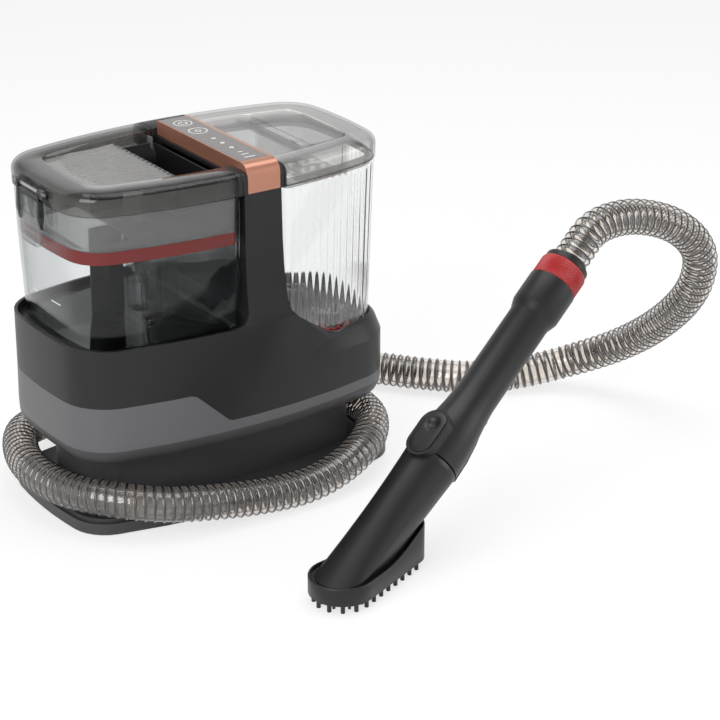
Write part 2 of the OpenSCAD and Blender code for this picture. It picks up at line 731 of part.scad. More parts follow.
hose_ribs = min(200, floor(hose_len / hose_pitch));
hose_step = hose_len / hose_ribs;
hose_crest = hose_d / 2;
hose_root = hose_d / 2 - 1.7;
// Centreline distance between stretches at least 4 diameters apart on it
hose_gap = min([for (i = [0:4:len(hose_s) - 1]) for (j = [i + 4:4:len(hose_s) - 1])
  if (hose_s[j] - hose_s[i] > 4 * hose_d) norm(hose_fine[j] - hose_fine[i])]) - hose_d;
echo(str("hose length ", hose_len, ", least gap to itself ", hose_gap));
module hose() color([0.45, 0.44, 0.43, 0.9]) {
  ring_loft(concat(
    [for (k = [0:2 * hose_ribs]) hose_ring(k * hose_step / 2, k % 2 == 0 ? hose_crest : hose_root)],
    [for (k = [floor(hose_ribs / 3):-1:0])
      hose_ring(k * hose_len / floor(hose_ribs / 3), hose_bore_r)]));
}

// ---- wand ---------------------------------------------------------------
// Wand frame: X up the axis, Z out of its top, Y left
module at_wand() {
  translate([wand_x, wand_y, 20]) rotate([0, 0, wand_head]) rotate([0, -wand_pitch, 0]) children();
}
// Upright frame under the wand foot: X along its heading
module at_plate() {
  translate([wand_x, wand_y, 0]) rotate([0, 0, wand_head]) children();
}
// Handle radius along the axis, as [distance, radius]
handle_profile = [[122, 26], [140, 25.6], [155, 24.6], [168, 23], [180, 21.4], [195, 20.2],
  [215, handle_d / 2], [292, handle_d / 2], [298, 22], [303, 23.5], [333, 23.5]];
module wand_lathe(profile, grow) {
  rotate([0, 90, 0]) rotate_extrude($fn = 48) polygon(concat(
    [[0, profile[0][0]]],
    [for (p = profile) [p[1] + grow, p[0]]],
    [[0, profile[len(profile) - 1][0]]]));
}
// Hollow of the handle, under a wall of 2.8
handle_hollow = [[121, 23.2], [140, 22.8], [155, 21.8], [168, 20.2], [180, 18.6], [195, 17.4],
  [215, handle_d / 2 - 2.8], [292, handle_d / 2 - 2.8], [298, 19], [303, 20.7], [315, 20.7]];
module handle_shell() color(c_black) at_wand() {
  difference() {
    union() {
      wand_lathe(handle_profile, 0);
      translate([135, 0, 14]) pill(10, 15, 15.5);
    }
    wand_lathe(handle_hollow, 0);
    translate([310, 0, 0]) rod_x(12.6, 12);
    translate([319, 0, 0]) rod_x(18.6, 20);
    translate([135, 0, 21]) pill(10, 12.25, 12);
    translate([135, 0, 12]) rod(6, 12);
    box([124, 189], [-8.6, 8.6], [-40, -15]);
  }
  for (y = [-11.6, 8.6]) difference() {
    box([177, 189], [y, y + 3], [-20.6, -14]);
    translate([184, -40, -18]) rod_y(1.5, 80);
  }
  difference() {
    translate([204, 0, 0]) rod_x(17.8, 3);
    translate([203, 0, 0]) rod_x(12.55, 5);
  }
}
module wand_tube() color(c_dark) at_wand() {
  difference() {
    translate([98, 0, 0]) rod_x(12.5, 222);
    translate([97, 0, 0]) rod_x(11, 230);
  }
}
module hose_cuff() color(c_black) at_wand() {
  difference() {
    union() {
      translate([319.2, 0, 0]) rod_x(18.5, 41.8);
      translate([355.5, 0, 0]) rod_x(21.5, 5.5);
    }
    translate([318, 0, 0]) rod_x(hose_bore_r + 0.1, 50);
  }
}
module lock_ring() color(c_red) at_wand() {
  difference() {
    union() {
      translate([333.4, 0, 0]) rod_x(22, 21.7);
      for (a = [0:15:345]) rotate([a, 0, 0]) box([335, 353.5], [-1.3, 1.3], [20, 23]);
    }
    translate([330, 0, 0]) rod_x(18.55, 30);
  }
}
module trigger() color(c_black) at_wand() {
  difference() {
    union() {
      side_profile([[186.6, -20.6], [181, -20.6], [178, -19.5], [150, -22.6], [129, -24.4],
        [126.8, -27], [126.8, -33], [129, -35.4], [150, -34.6], [168, -31], [184, -24.6]], [-8, 8]);
      translate([184, -8, -18]) rod_y(3, 16);
      side_profile([[187, -18], [181, -18], [180, -23], [186, -23.4]], [-8, 8]);
    }
    translate([184, -40, -18]) rod_y(1.55, 80);
  }
}
module trigger_pin() color(c_metal) at_wand() {
  translate([184, -11.6, -18]) rod_y(1.5, 23.2);
}
module trigger_spring() color(c_metal) at_wand() {
  translate([138, 0, -23.1]) difference() {
    rod(3.4, 10.5);
    up(-1) rod(2.6, 20);
  }
}
module spray_valve() color(c_dark) at_wand() {
  difference() {
    box([160, 180], [-6, 6], [-16.4, -10.6]);
    translate([170, 0, -20]) rod(1.8, 8);
    translate([100, 0, 0]) rod_x(12.6, 100);
  }
}
module valve_stem() color(c_metal) at_wand() {
  translate([170, 0, -20]) rod(1.7, 5.2);
}
module release_button() color(c_black) at_wand() {
  difference() {
    union() {
      translate([135, 0, 24.5]) pill(10, 12, 6.5);
      translate([135, 0, 20]) rod(3, 5);
    }
    translate([145, 0, 43.5]) sphere(r = 14);
  }
}
module release_spring() color(c_metal) at_wand() {
  translate([135, 0, 12.5]) difference() {
    rod(4.5, 12);
    up(-1) rod(3.4, 14);
  }
}

// ---- brush tool ---------------------------------------------------------
// Plate outline: big round toe, small round heel, joined by tangents.
toe_x = -20;
heel_x = 62;
toe_r = 30;
heel_r = 20;
function egg(a, g) =
  cos(a) > (toe_r - heel_r) / (heel_x - toe_x)
  ? [heel_x + (heel_r + g) * cos(a), (heel_r + g) * sin(a)]
  : [toe_x + (toe_r + g) * cos(a), (toe_r + g) * sin(a)];
function tube_ring(a, s, r) = [
  s * cos(wand_pitch) + r * cos(a) * sin(wand_pitch),
  r * sin(a),
  20 + s * sin(wand_pitch) - r * cos(a) * cos(wand_pitch)];
// Tool skin: quadratic blend from the round joint to the plate outline
function tool_pt(a, t, g) =
  let(c0 = tube_ring(a, 121, 26 + g), c1 = tube_ring(a, 65 + 20 * cos(a), 26 + g))
  let(e = egg(a, g - 2.5), c2 = [e[0], e[1], 24])
  (1 - t) * (1 - t) * c0 + 2 * t * (1 - t) * c1 + t * t * c2;
module egg_hull(g, h) {
  hull() {
    translate([toe_x, 0, 0]) cylinder(r = toe_r + g, h = h, $fn = 32);
    translate([heel_x, 0, 0]) cylinder(r = heel_r + g, h = h, $fn = 32);
  }
}
module tool_body() color(c_black) {
  difference() {
    at_plate() union() {
      loft([for (k = [10:-1:0]) [for (i = [0:31]) tool_pt(i * 11.25, k / 10, 0)]]);
      up(16) egg_hull(-2.6, 8.1);
    }
    at_wand() translate([-14, 0, 0]) rod_x(13.4, 160);
    at_plate() up(10) egg_hull(-7, 10);
    at_wand() translate([135, 0, 14]) pill(10, 15.4, 30);
    at_wand() translate([120.6, 0, 0]) rod_x(40, 20);
    at_plate() difference() {
      up(15) egg_hull(3, 11.3);
      up(14) egg_hull(-2.7, 14);
    }
  }
}
module brush_plate() color(c_black) {
  at_plate() difference() {
    up(8) egg_hull(0, 18);
    up(7) egg_hull(-2.6, 30);
  }
  at_plate() difference() {
    up(13.6) egg_hull(-2.6, 2.4);
    up(12) egg_hull(-12, 6);
  }
}
module brush_bristles() color("#1d1d1f") {
  at_plate() {
    for (p = egg_walk(-4.9, 12.5)) translate([p[0], p[1], 0]) rod(2, 13.6, $fn = 8);
    for (p = egg_walk(-9.8, 12.5)) translate([p[0], p[1], 1]) rod(1.4, 12.6, $fn = 8);
    difference() {
      up(10.4) egg_hull(-2.7, 3.2);
      up(9) egg_hull(-11.6, 6);
    }
  }
}
// Points spaced about p mm apart round the egg outline grown by g
function egg_walk(g, p) =
  let(fa = acos((toe_r - heel_r) / (heel_x - toe_x)))
  let(lt = (toe_r + g) * (360 - 2 * fa) * PI / 180, lh = (heel_r + g) * 2 * fa * PI / 180)
  let(nt = round(lt / p), nh = round(lh / p), ls = norm(egg(fa + 0.01, g) - egg(fa - 0.01, g)))
  let(ns = round(ls / p))
  concat(
    [for (i = [0:nt]) egg(fa + 0.01 + (360 - 2 * fa - 0.02) * i / nt, g)],
    [for (i = [1:nh - 1]) egg(-fa + 2 * fa * i / nh, g)],
    [for (i = [1:ns]) for (s = [-1, 1]) let(a = egg(fa + 0.01, g), b = egg(fa - 0.01, g))
      let(q = a + (b - a) * i / ns) [q[0], s * q[1]]]);
module suction_lip() color(c_clear) {
  at_plate() difference() {
    up(3) egg_hull(-12, 17);
    up(2) egg_hull(-14.4, 30);
  }
}
module spray_nozzle() color(c_dark) {
  at_plate() {
    translate([-31, 0, 10]) rod(3.2, 10);
    translate([-31, 0, 8]) cylinder(r1 = 1.2, r2 = 3.2, h = 2);
  }
}

foot_plate();
rubber_feet();
housing_screws();
neck_shell();
skirt_shell();
upper_housing();
tray_floor();
copper_trim();
panel_glass();
touch_board();
control_board();
vacuum_motor();
fan_housing();
fan_rotor();
air_duct();
suction_pipe();
hose_elbow();
water_pump();
heater();
feed_tube();
solution_tube();
mains_gland();
dirty_tank();
dirty_riser();
float_cage();
float();
dirty_lid();
grip_well();
lid_separator();
separator_seal();
tank_latch();
latch_pin();
clean_tank();
clean_lid();
lid_basin();
clean_lid_seal();
fill_flap();
flap_pin();
valve_seal();
valve_poppet();
valve_spring();
hose();
hose_cuff();
lock_ring();
handle_shell();
wand_tube();
trigger();
trigger_pin();
trigger_spring();
spray_valve();
valve_stem();
release_button();
release_spring();
tool_body();
brush_plate();
brush_bristles();
suction_lip();
spray_nozzle();
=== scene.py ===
"""Spot extractor: two lift-off tanks on a low body, a ribbed hose wound round
the neck and a hand wand that stands on its brush tool. Lengths are in
millimetres until a piece is made, then in metres."""
import json
import math

import bmesh
import bpy
import numpy as np
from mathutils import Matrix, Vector
from mathutils.geometry import tessellate_polygon

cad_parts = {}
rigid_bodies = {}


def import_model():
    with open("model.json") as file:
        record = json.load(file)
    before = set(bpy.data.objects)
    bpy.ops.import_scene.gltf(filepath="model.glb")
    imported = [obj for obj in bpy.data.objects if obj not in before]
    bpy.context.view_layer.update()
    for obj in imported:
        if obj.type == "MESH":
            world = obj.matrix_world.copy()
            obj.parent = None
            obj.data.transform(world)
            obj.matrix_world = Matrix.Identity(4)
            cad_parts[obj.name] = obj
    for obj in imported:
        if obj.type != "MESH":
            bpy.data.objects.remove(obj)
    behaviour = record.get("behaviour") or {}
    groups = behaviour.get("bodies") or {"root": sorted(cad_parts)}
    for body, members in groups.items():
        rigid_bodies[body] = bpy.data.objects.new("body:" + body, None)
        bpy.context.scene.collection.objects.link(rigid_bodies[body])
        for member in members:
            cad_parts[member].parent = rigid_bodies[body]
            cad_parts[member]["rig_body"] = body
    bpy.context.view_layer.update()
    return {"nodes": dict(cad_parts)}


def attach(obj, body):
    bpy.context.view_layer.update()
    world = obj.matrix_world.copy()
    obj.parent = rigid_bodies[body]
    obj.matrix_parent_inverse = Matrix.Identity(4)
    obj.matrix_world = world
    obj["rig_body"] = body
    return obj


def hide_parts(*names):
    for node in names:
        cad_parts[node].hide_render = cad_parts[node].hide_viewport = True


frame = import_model()

# ---- sizes shared with the CAD ----------------------------------------------
# Body outline: half length and width, radii of its sides, ends and corners
HALF_L, HALF_W = 165.0, 95.5
SIDE_R, END_R, CORNER_R = 566.0, 422.0, 42.0
LID_TOP, STRIP_TOP = 325.0, 332.0
# Middle of the latch along Y
LATCH_Y = 4
# Wand: foot point, heading about the vertical and pitch above the floor
WAND_FOOT = np.array([-20.0, -295.0, 20.0])
HEADING, PITCH = math.radians(16), math.radians(33)
# Plate of the tool: middles and radii of its toe and heel arcs
TOE_X, HEEL_X, TOE_R, HEEL_R = -20.0, 62.0, 30.0, 20.0
EGG_A = math.acos((TOE_R - HEEL_R) / (HEEL_X - TOE_X))
# Hose: pitch of its spiral, radii of crest, wall and bore, and its route from
# the elbow at the back round the neck and up to the cuff of the wand
HOSE_PITCH, HOSE_CREST_R, HOSE_WALL_R, HOSE_BORE_R = 8.0, 17.2, 15.9, 12.9
HOSE_ROUTE = np.array([
    [60, 96, 36], [96, 96, 36], [128, 86, 36], [151, 58, 36], [160, 16, 36],
    [160, -26, 36], [150, -66, 36], [122, -101, 34], [84, -119, 25], [40, -125, 18],
    [-10, -125, 20], [-60, -121, 26], [-104, -110, 31], [-142, -86, 36], [-168, -48, 37],
    [-177, 0, 37], [-170, 48, 37], [-148, 92, 36], [-112, 124, 27], [-64, 140, 19],
    [-10, 145, 18], [50, 146, 18], [110, 144, 18], [166, 132, 18], [212, 106, 18],
    [248, 70, 18], [280, 30, 18], [320, -8, 18], [366, -24, 18], [410, -50, 30],
    [438, -100, 60], [448, -150, 100], [449, -188, 144], [444, -203, 184], [422, -207, 214],
    [385, -205, 236], [340, -201, 245], [299, -204, 236], [271, -212, 217]], float)


# ---- materials --------------------------------------------------------------
def linear(code):
    """One sRGB hex colour as linear RGBA."""
    c = [int(code[i:i + 2], 16) / 255 for i in (1, 3, 5)]
    return tuple(v / 12.92 if v <= 0.04045 else ((v + 0.055) / 1.055) ** 2.4 for v in c) + (1.0,)


def add(tree, kind, settings=None, links=None):
    """Adds one node: settings are its properties or input values, links its
    inputs fed by (node, output name)."""
    node = tree.nodes.new("ShaderNode" + kind)
    for key, value in (settings or {}).items():
        if isinstance(key, str) and hasattr(node, key):
            setattr(node, key, value)
        else:
            node.inputs[key].default_value = value
    for key, (source, out) in (links or {}).items():
        tree.links.new(source.outputs[out], node.inputs[key])
    return node


def empty_nodes(owner):
    """The emptied node tree of a material or world."""
    owner.use_nodes = True
    owner.node_tree.nodes.clear()
    return owner.node_tree


def moulded(name, colour, rough, grain_mm=1.4, bump=0.06, spread=0.05, **sockets):
    """A moulded plastic, lacquer or metal: base colour with a faint cloud of
    spread, 90 mm across, roughness with a fine grain of grain_mm, and the
    same grain as a bump up to 0.2 mm high."""
    mat = bpy.data.materials.new(name)
    tree = empty_nodes(mat)
    place = add(tree, "TexCoord")
    grain = add(tree, "TexNoise", {"Scale": 1000 / grain_mm, "Detail": 3.0, "Roughness": 0.6},
                {"Vector": (place, "Object")})
    cloud = add(tree, "TexNoise", {"Scale": 1000 / 90, "Detail": 2.0},
                {"Vector": (place, "Object")})
    tone = add(tree, "MapRange", {"To Min": 1 - spread, "To Max": 1 + spread},
               {"Value": (cloud, "Fac")})
    tint = add(tree, "VectorMath", {"operation": "SCALE", 0: linear(colour)[:3]},
               {"Scale": (tone, "Result")})
    rub = add(tree, "MapRange", {"To Min": max(rough - 0.05, 0.02), "To Max": rough + 0.05},
              {"Value": (grain, "Fac")})
    relief = add(tree, "Bump", {"Strength": bump, "Distance": 0.0002}, {"Height": (grain, "Fac")})
    surface = add(tree, "BsdfPrincipled", sockets, {
        "Base Color": (tint, "Vector"), "Roughness": (rub, "Result"), "Normal": (relief, "Normal")})
    add(tree, "OutputMaterial", None, {"Surface": (surface, "BSDF")})
    return mat


def glaze(tree, wall, slant, relief, share, rough):
    """Ends a tree with a mirror laid over the wall: share[0] of it square on,
    rising with the fifth power of the slant to share[1] at a graze."""
    graze = add(tree, "Math", {"operation": "POWER", 1: 5.0}, {0: (slant, "Facing")})
    part = add(tree, "MapRange", {"To Min": share[0], "To Max": share[1]},
               {"Value": (graze, "Value")})
    gloss = add(tree, "BsdfPrincipled",
                {"Base Color": linear("#f4f4f4"), "Metallic": 1.0, "Roughness": rough},
                {"Normal": (relief, "Normal")})
    mix = add(tree, "MixShader", None, {0: (part, "Result"), 1: wall, 2: (gloss, "BSDF")})
    add(tree, "OutputMaterial", None, {"Surface": (mix, "Shader")})


def clear_plastic(name, face, edge, haze=0.0, rough=0.02, milk=0.0):
    """A thin wall of clear moulded plastic. Light goes straight through it,
    tinted face where the wall is seen square on and edge where it is grazed;
    milk is the share that a satin face scatters instead. The rest is
    mirrored: a little square on, plus haze, and all of it at a graze. Faint
    flow waves are 60 mm long."""
    mat = bpy.data.materials.new(name)
    tree = empty_nodes(mat)
    place = add(tree, "TexCoord")
    flow = add(tree, "TexNoise", {"Scale": 1000 / 60, "Detail": 1.0},
               {"Vector": (place, "Object")})
    relief = add(tree, "Bump", {"Strength": 0.03, "Distance": 0.002}, {"Height": (flow, "Fac")})
    slant = add(tree, "LayerWeight", {"Blend": 0.5}, {"Normal": (relief, "Normal")})
    deep = add(tree, "Math", {"operation": "POWER", 1: 3.0}, {0: (slant, "Facing")})
    tint = add(tree, "MixRGB", {1: linear(face), 2: linear(edge)}, {0: (deep, "Value")})
    wall = (add(tree, "BsdfTransparent", None, {"Color": (tint, "Color")}), "BSDF")
    if milk:
        satin = add(tree, "BsdfDiffuse", {"Color": linear("#c9c8c6")})
        cloud = add(tree, "MapRange", {"To Min": milk * 0.8, "To Max": milk * 1.2},
                    {"Value": (flow, "Fac")})
        wall = (add(tree, "MixShader", None, {0: (cloud, "Result"), 1: wall, 2: (satin, "BSDF")}),
                "Shader")
    glaze(tree, wall, slant, relief, (0.016 + haze, 1.0), rough)
    return mat


# ABS moulded in an etched tool: satin, with soft, broad highlights.
black_abs = moulded("Etched black ABS", "#18181a", 0.38, **{"Specular IOR Level": 0.36})
grey_abs = moulded("Satin grey ABS", "#59595b", 0.42, **{"Specular IOR Level": 0.36})
neck_abs = moulded("Dark grey ABS", "#3b3b3d", 0.44, **{"Specular IOR Level": 0.36})
# The wand's ABS comes out of a spark eroded tool: a deeper, duller grain.
wand_abs = moulded("Spark eroded black ABS", "#151517", 0.40, grain_mm=1.1, bump=0.09,
                   **{"Specular IOR Level": 0.4})
# Unpolished polypropylene of the inner parts: flat and grey-black.
inner_pp = moulded("Plain black polypropylene", "#1c1c1e", 0.5)
# Rose copper lacquer sprayed on plastic: metal flake under a clear coat.
copper_lacquer = moulded("Rose copper lacquer", "#b07a63", 0.32, grain_mm=0.8, bump=0.03,
                         **{"Metallic": 0.6, "Coat Weight": 0.35, "Coat Roughness": 0.15})
# Key film, printed from behind and lacquered: half gloss, with flat white print.
key_film = moulded("Lacquered key film", "#585251", 0.26, bump=0.01, **{"Coat Weight": 0.4})
key_print = moulded("White screen print", "#dcdcdc", 0.45, bump=0.0)
# Injection moulded SAN, clear or with a smoke dye: bright through its face and
# dark at its edges, hazed where the tool is satin or etched.
clear_san = clear_plastic("Clear SAN", "#f8f9f9", "#a9acae")
smoked_san = clear_plastic("Smoked SAN", "#dededd", "#6e6f71", haze=0.01, rough=0.04)
light_smoke = clear_plastic("Light smoked SAN", "#f9f9f8", "#8f9094", haze=0.005, rough=0.04)
ridged_san = clear_plastic("Smoked SAN, satin face", "#d2d2d1", "#48494b", rough=0.12, milk=0.28)
etched_smoke = clear_plastic("Smoked SAN, etched", "#cdcdcc", "#6e6f71", rough=0.2, milk=0.2)
deep_smoke = clear_plastic("Deep smoked SAN", "#a5a5a6", "#4b4c4e", rough=0.05)
# Thick clear SAN, polished, with flutes that bend what is behind them.
fluted_san = moulded("Fluted clear SAN", "#fbfcfc", 0.05, grain_mm=40, bump=0.0, spread=0.01,
                     **{"IOR": 1.49, "Transmission Weight": 1.0})
# Press cured silicone: soft and matt, the red ones dyed through.
clear_silicone = clear_plastic("Translucent silicone", "#dededd", "#909193", rough=0.25, milk=0.2)
red_silicone = moulded("Red silicone", "#b3222a", 0.42, bump=0.02, **{"Subsurface Weight": 0.05})
seal_silicone = moulded("Dark red silicone", "#77140f", 0.4, bump=0.02,
                        **{"Specular IOR Level": 0.25})
# Dyed ABS of the lock ring: satin red.
red_abs = moulded("Red ABS", "#9c1a1c", 0.36)
# Compression moulded rubber: dull black.
soft_rubber = moulded("Black rubber", "#1a1a1b", 0.65)
# Drawn nylon filament: a little shine along its length.
bristle_nylon = moulded("Black nylon", "#19191a", 0.38)
# Zinc plated steel wire and screws, and deep drawn aluminium cans.
plain_steel = moulded("Zinc plated steel", "#b9bbbd", 0.30, **{"Metallic": 1.0})
motor_can = moulded("Pressed aluminium", "#b4b7ba", 0.36, **{"Metallic": 1.0})
# Solder mask over a glass fibre board: green, half gloss.
board_green = moulded("Solder mask", "#1c5a3a", 0.35)


def hose_vinyl():
    """Extruded translucent PVC with a dark reinforcing spiral. The UV map
    gives turns along the hose (u) and round it (v), and the spiral is where
    u - v is a whole number. The wall between lets most light straight
    through, less of it at a graze, with soft creases about 14 mm long whose
    colour is painted darker in their hollows as shade and lighter on their
    crests as highlight."""
    mat = bpy.data.materials.new("Translucent PVC with dark spiral")
    tree = empty_nodes(mat)
    uv = add(tree, "UVMap", {"uv_map": "turns"})
    xyz = add(tree, "SeparateXYZ", None, {"Vector": (uv, "UV")})
    phase = add(tree, "Math", {"operation": "SUBTRACT"}, {0: (xyz, "X"), 1: (xyz, "Y")})
    ping = add(tree, "Math", {"operation": "PINGPONG", 1: 0.5}, {0: (phase, "Value")})
    wire = add(tree, "MapRange",
               {"From Min": 0.13, "From Max": 0.18, "To Min": 1.0, "To Max": 0.0},
               {"Value": (ping, "Value")})
    place = add(tree, "TexCoord")
    crease = add(tree, "TexNoise", {"Scale": 1000 / 14, "Detail": 1.0},
                 {"Vector": (place, "Object")})
    # Wall colour follows the crease noise: painted shade in the hollows and painted highlight on
    # the crests.
    crease_shade_and_highlight = add(tree, "MixRGB", {1: linear("#a59c96"), 2: linear("#e6dfda")},
                 {0: (crease, "Fac")})
    colour = add(tree, "MixRGB", {2: linear("#0d0d0e")},
                 {0: (wire, "Result"), 1: (crease_shade_and_highlight, "Color")})
    relief = add(tree, "Bump", {"Strength": 0.3, "Distance": 0.001}, {"Height": (crease, "Fac")})
    slant = add(tree, "LayerWeight", {"Blend": 0.5}, {"Normal": (relief, "Normal")})
    deep = add(tree, "Math", {"operation": "POWER", 1: 4.0}, {0: (slant, "Facing")})
    body = add(tree, "MapRange", {"To Min": 0.07, "To Max": 0.45}, {"Value": (deep, "Value")})
    solid = add(tree, "Math", {"operation": "MAXIMUM"}, {0: (body, "Result"), 1: (wire, "Result")})
    through = add(tree, "BsdfTransparent", {"Color": linear("#faf7f4")})
    surface = add(tree, "BsdfPrincipled", {"IOR": 1.53, "Roughness": 0.3},
                  {"Base Color": (colour, "Color"), "Normal": (relief, "Normal")})
    wall = add(tree, "MixShader", None,
               {0: (solid, "Value"), 1: (through, "BSDF"), 2: (surface, "BSDF")})
    glaze(tree, (wall, "Shader"), slant, relief, (0.05, 0.8), 0.1)
    return mat


hose_pvc = hose_vinyl()


# ---- surfaces ---------------------------------------------------------------
def skin(grid, closed=True, start=False, end=False, ring=False):
    """Quads over a grid of points (rows, columns, 3). closed joins the last
    column to the first, ring the last row to the first, and start and end
    close the first and last row with one face each."""
    grid = np.asarray(grid, float)
    m, n = grid.shape[:2]
    r = np.arange(m if ring else m - 1)[:, None]
    c = np.arange(n if closed else n - 1)[None, :]
    r2, c2 = (r + 1) % m, (c + 1) % n
    quads = np.stack([r * n + c, r * n + c2, r2 * n + c2, r2 * n + c], -1)
    quads = quads.reshape(-1, 4).tolist()
    if start:
        quads.append(list(range(n - 1, -1, -1)))
    if end:
        quads.append(list(range((m - 1) * n, m * n)))
    return grid.reshape(-1, 3), quads


def join(*parts):
    """Several (points, faces) as one."""
    points, faces, base = [], [], 0
    for p, f in parts:
        points.append(np.asarray(p, float))
        faces += [[i + base for i in face] for face in f]
        base += len(p)
    return np.concatenate(points), faces


def linked(name, data):
    """A new object of the scene."""
    obj = bpy.data.objects.new(name, data)
    bpy.context.scene.collection.objects.link(obj)
    return obj


def piece(name, surface, mat, body, nodes=(), sharp=32, bevel=0.0, segments=2,
          wall=0.0, shell=True):
    """One finished piece from points in millimetres and faces: smooth except
    where faces meet at more than sharp degrees, with edges rounded by bevel
    and the skin thickened inwards by wall. A closed shell has its doubles
    merged and its faces turned outwards."""
    points, faces = surface
    mesh = bpy.data.meshes.new(name)
    mesh.from_pydata((np.asarray(points) * 0.001).tolist(), [], faces)
    if shell:
        bm = bmesh.new()
        bm.from_mesh(mesh)
        bmesh.ops.remove_doubles(bm, verts=bm.verts, dist=1e-6)
        bmesh.ops.recalc_face_normals(bm, faces=bm.faces)
        bm.to_mesh(mesh)
        bm.free()
    mesh.validate()
    mesh.update()
    obj = linked(name, mesh)
    finish_mesh(obj, mat, sharp, bevel, segments, wall)
    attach(obj, body)
    if nodes:
        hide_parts(*nodes)
    return obj


def finish_mesh(obj, mat, sharp=32, bevel=0.4, segments=2, wall=0.0):
    """Material, smooth shading with sharp edges, and the live modifiers."""
    mesh = obj.data
    mesh.materials.clear()
    mesh.materials.append(mat)
    mesh.polygons.foreach_set("use_smooth", np.ones(len(mesh.polygons), bool))
    mesh.set_sharp_from_angle(angle=math.radians(sharp))
    if wall:
        mod = obj.modifiers.new("wall", "SOLIDIFY")
        mod.thickness = wall * 0.001
        mod.offset = -1.0
    if bevel:
        mod = obj.modifiers.new("edge", "BEVEL")
        mod.width = bevel * 0.001
        mod.segments = segments
        mod.limit_method = "ANGLE"
        mod.angle_limit = math.radians(sharp)
        mod.use_clamp_overlap = True


def dress(node, mat):
    """A CAD node's own shape with its flat faces made whole again and its
    edges rounded: doubles merged, triangles within 0.8 degrees of one plane
    dissolved, then a bevel."""
    src = frame["nodes"][node]
    bm = bmesh.new()
    bm.from_mesh(src.data)
    bmesh.ops.remove_doubles(bm, verts=bm.verts, dist=2e-6)
    bmesh.ops.dissolve_limit(bm, angle_limit=math.radians(0.8), verts=bm.verts, edges=bm.edges)
    mesh = bpy.data.meshes.new(node + "_skin")
    bm.to_mesh(mesh)
    bm.free()
    obj = linked(node + "_skin", mesh)
    finish_mesh(obj, mat)
    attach(obj, src["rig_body"])
    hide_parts(node)


def arc(centre, r, a, b, n):
    """n points from angle a to just before b, on a circle about centre."""
    t = a + (b - a) * np.arange(n) / n
    return np.stack([centre[0] + r * np.cos(t), centre[1] + r * np.sin(t)], -1)


def corner(hl, hw, sr, er, rc):
    """Centres of the side, end and corner arcs of a body outline of half
    length hl and half width hw, and the two angles of the corner arc, where
    it touches the end arc and the side arc."""
    s, e = np.array([0, hw - sr]), np.array([hl - er, 0])
    r1, r2, v = sr - rc, er - rc, e - s
    dist = np.hypot(*v)
    t = (r1 * r1 - r2 * r2 + dist * dist) / (2 * dist)
    h = math.sqrt(r1 * r1 - t * t)
    c = s + v * t / dist + np.array([v[1], -v[0]]) * h / dist
    return s, e, c, math.atan2(c[1] - e[1], c[0] - e[0]), math.atan2(c[1] - s[1], c[0] - s[0])


def bow(d, x):
    """Y of the long bowed side at x, offset d outwards."""
    return np.sqrt((SIDE_R + d) ** 2 - np.square(x)) + HALF_W - SIDE_R


def round_end(side, d, x_end):
    """Open plan path offset d outwards: from x_end on the back side arc
    round the corner, the bowed end and the other corner to x_end in front.
    side is 1 for the right end and -1 for the left."""
    rc = max(CORNER_R + d, 14)
    s, e, c, a1, a2 = corner(HALF_L + d, HALF_W + d, SIDE_R + d, END_R + d, rc)
    a3 = math.acos(x_end / (SIDE_R + d))
    half = np.concatenate([arc(e, END_R + d, 0, a1, 24), arc(c, rc, a1, a2, 12),
                           arc(s, SIDE_R + d, a2, a3, 26), [[x_end, bow(d, x_end)]]])
    return np.concatenate([half[::-1], half[1:] * [1, -1]]) * [side, 1]


def capped(grid):
    """Closed solid from rows that run round its section and columns that run
    along it, with a flat face at each end."""
    points, faces = skin(grid, closed=False, ring=True)
    m, n = np.shape(grid)[:2]
    return points, faces + [list(range(0, m * n, n)), list(range(m * n - 1, -1, -n))]


def plate(outer, holes, z0, z1):
    """Flat plate between two heights, with holes cut through it: both faces
    are triangles over the rings, joined by a wall along each ring."""
    rings = [np.asarray(r, float) for r in (outer, *holes)]
    flat = np.concatenate(rings)
    tri = np.array(tessellate_polygon([at(r, 0).tolist() for r in rings]))
    n = len(flat)
    faces = tri.tolist() + (tri[:, ::-1] + n).tolist()
    start = 0
    for ring in rings:
        i = np.arange(len(ring))
        a, b = start + i, start + (i + 1) % len(ring)
        faces += np.stack([a, b, b + n, a + n], -1).tolist()
        start += len(ring)
    return np.concatenate([at(flat, z1), at(flat, z0)]), faces


def at(plan, z):
    """A plan outline lifted to height z."""
    return np.column_stack([plan, np.full(len(plan), float(z))])


def block(x, y, z):
    """Box surface by its ranges."""
    plan = [(x[0], y[0]), (x[1], y[0]), (x[1], y[1]), (x[0], y[1])]
    faces = [[3, 2, 1, 0], [4, 5, 6, 7], [0, 1, 5, 4], [1, 2, 6, 5], [2, 3, 7, 6], [3, 0, 4, 7]]
    return np.array([[a, b, c] for c in z for a, b in plan], float), faces


# Wand axes: along, left and up out of the top
ALONG = np.array([math.cos(PITCH) * math.cos(HEADING), math.cos(PITCH) * math.sin(HEADING),
                  math.sin(PITCH)])
LEFT = np.array([-math.sin(HEADING), math.cos(HEADING), 0.0])
OUT = np.cross(ALONG, LEFT)


def on_wand(p):
    """Wand coordinates (along, left, out) as points of the whole part."""
    p = np.asarray(p, float)
    return WAND_FOOT + p[..., :1] * ALONG + p[..., 1:2] * LEFT + p[..., 2:3] * OUT


def on_plate(p):
    """Points of an upright frame on the floor under the wand's foot, with X
    along the wand's heading, as points of the whole part."""
    p = np.asarray(p, float)
    c, s = math.cos(HEADING), math.sin(HEADING)
    return np.stack([WAND_FOOT[0] + c * p[..., 0] - s * p[..., 1],
                     WAND_FOOT[1] + s * p[..., 0] + c * p[..., 1], p[..., 2]], -1)


# ---- camera, light and floor ------------------------------------------------
def aim(obj, where, way):
    """Stands a camera or lamp at a place in metres, looking along way."""
    obj.location = where
    obj.rotation_mode = "QUATERNION"
    obj.rotation_quaternion = Vector(way).to_track_quat("-Z", "Y")


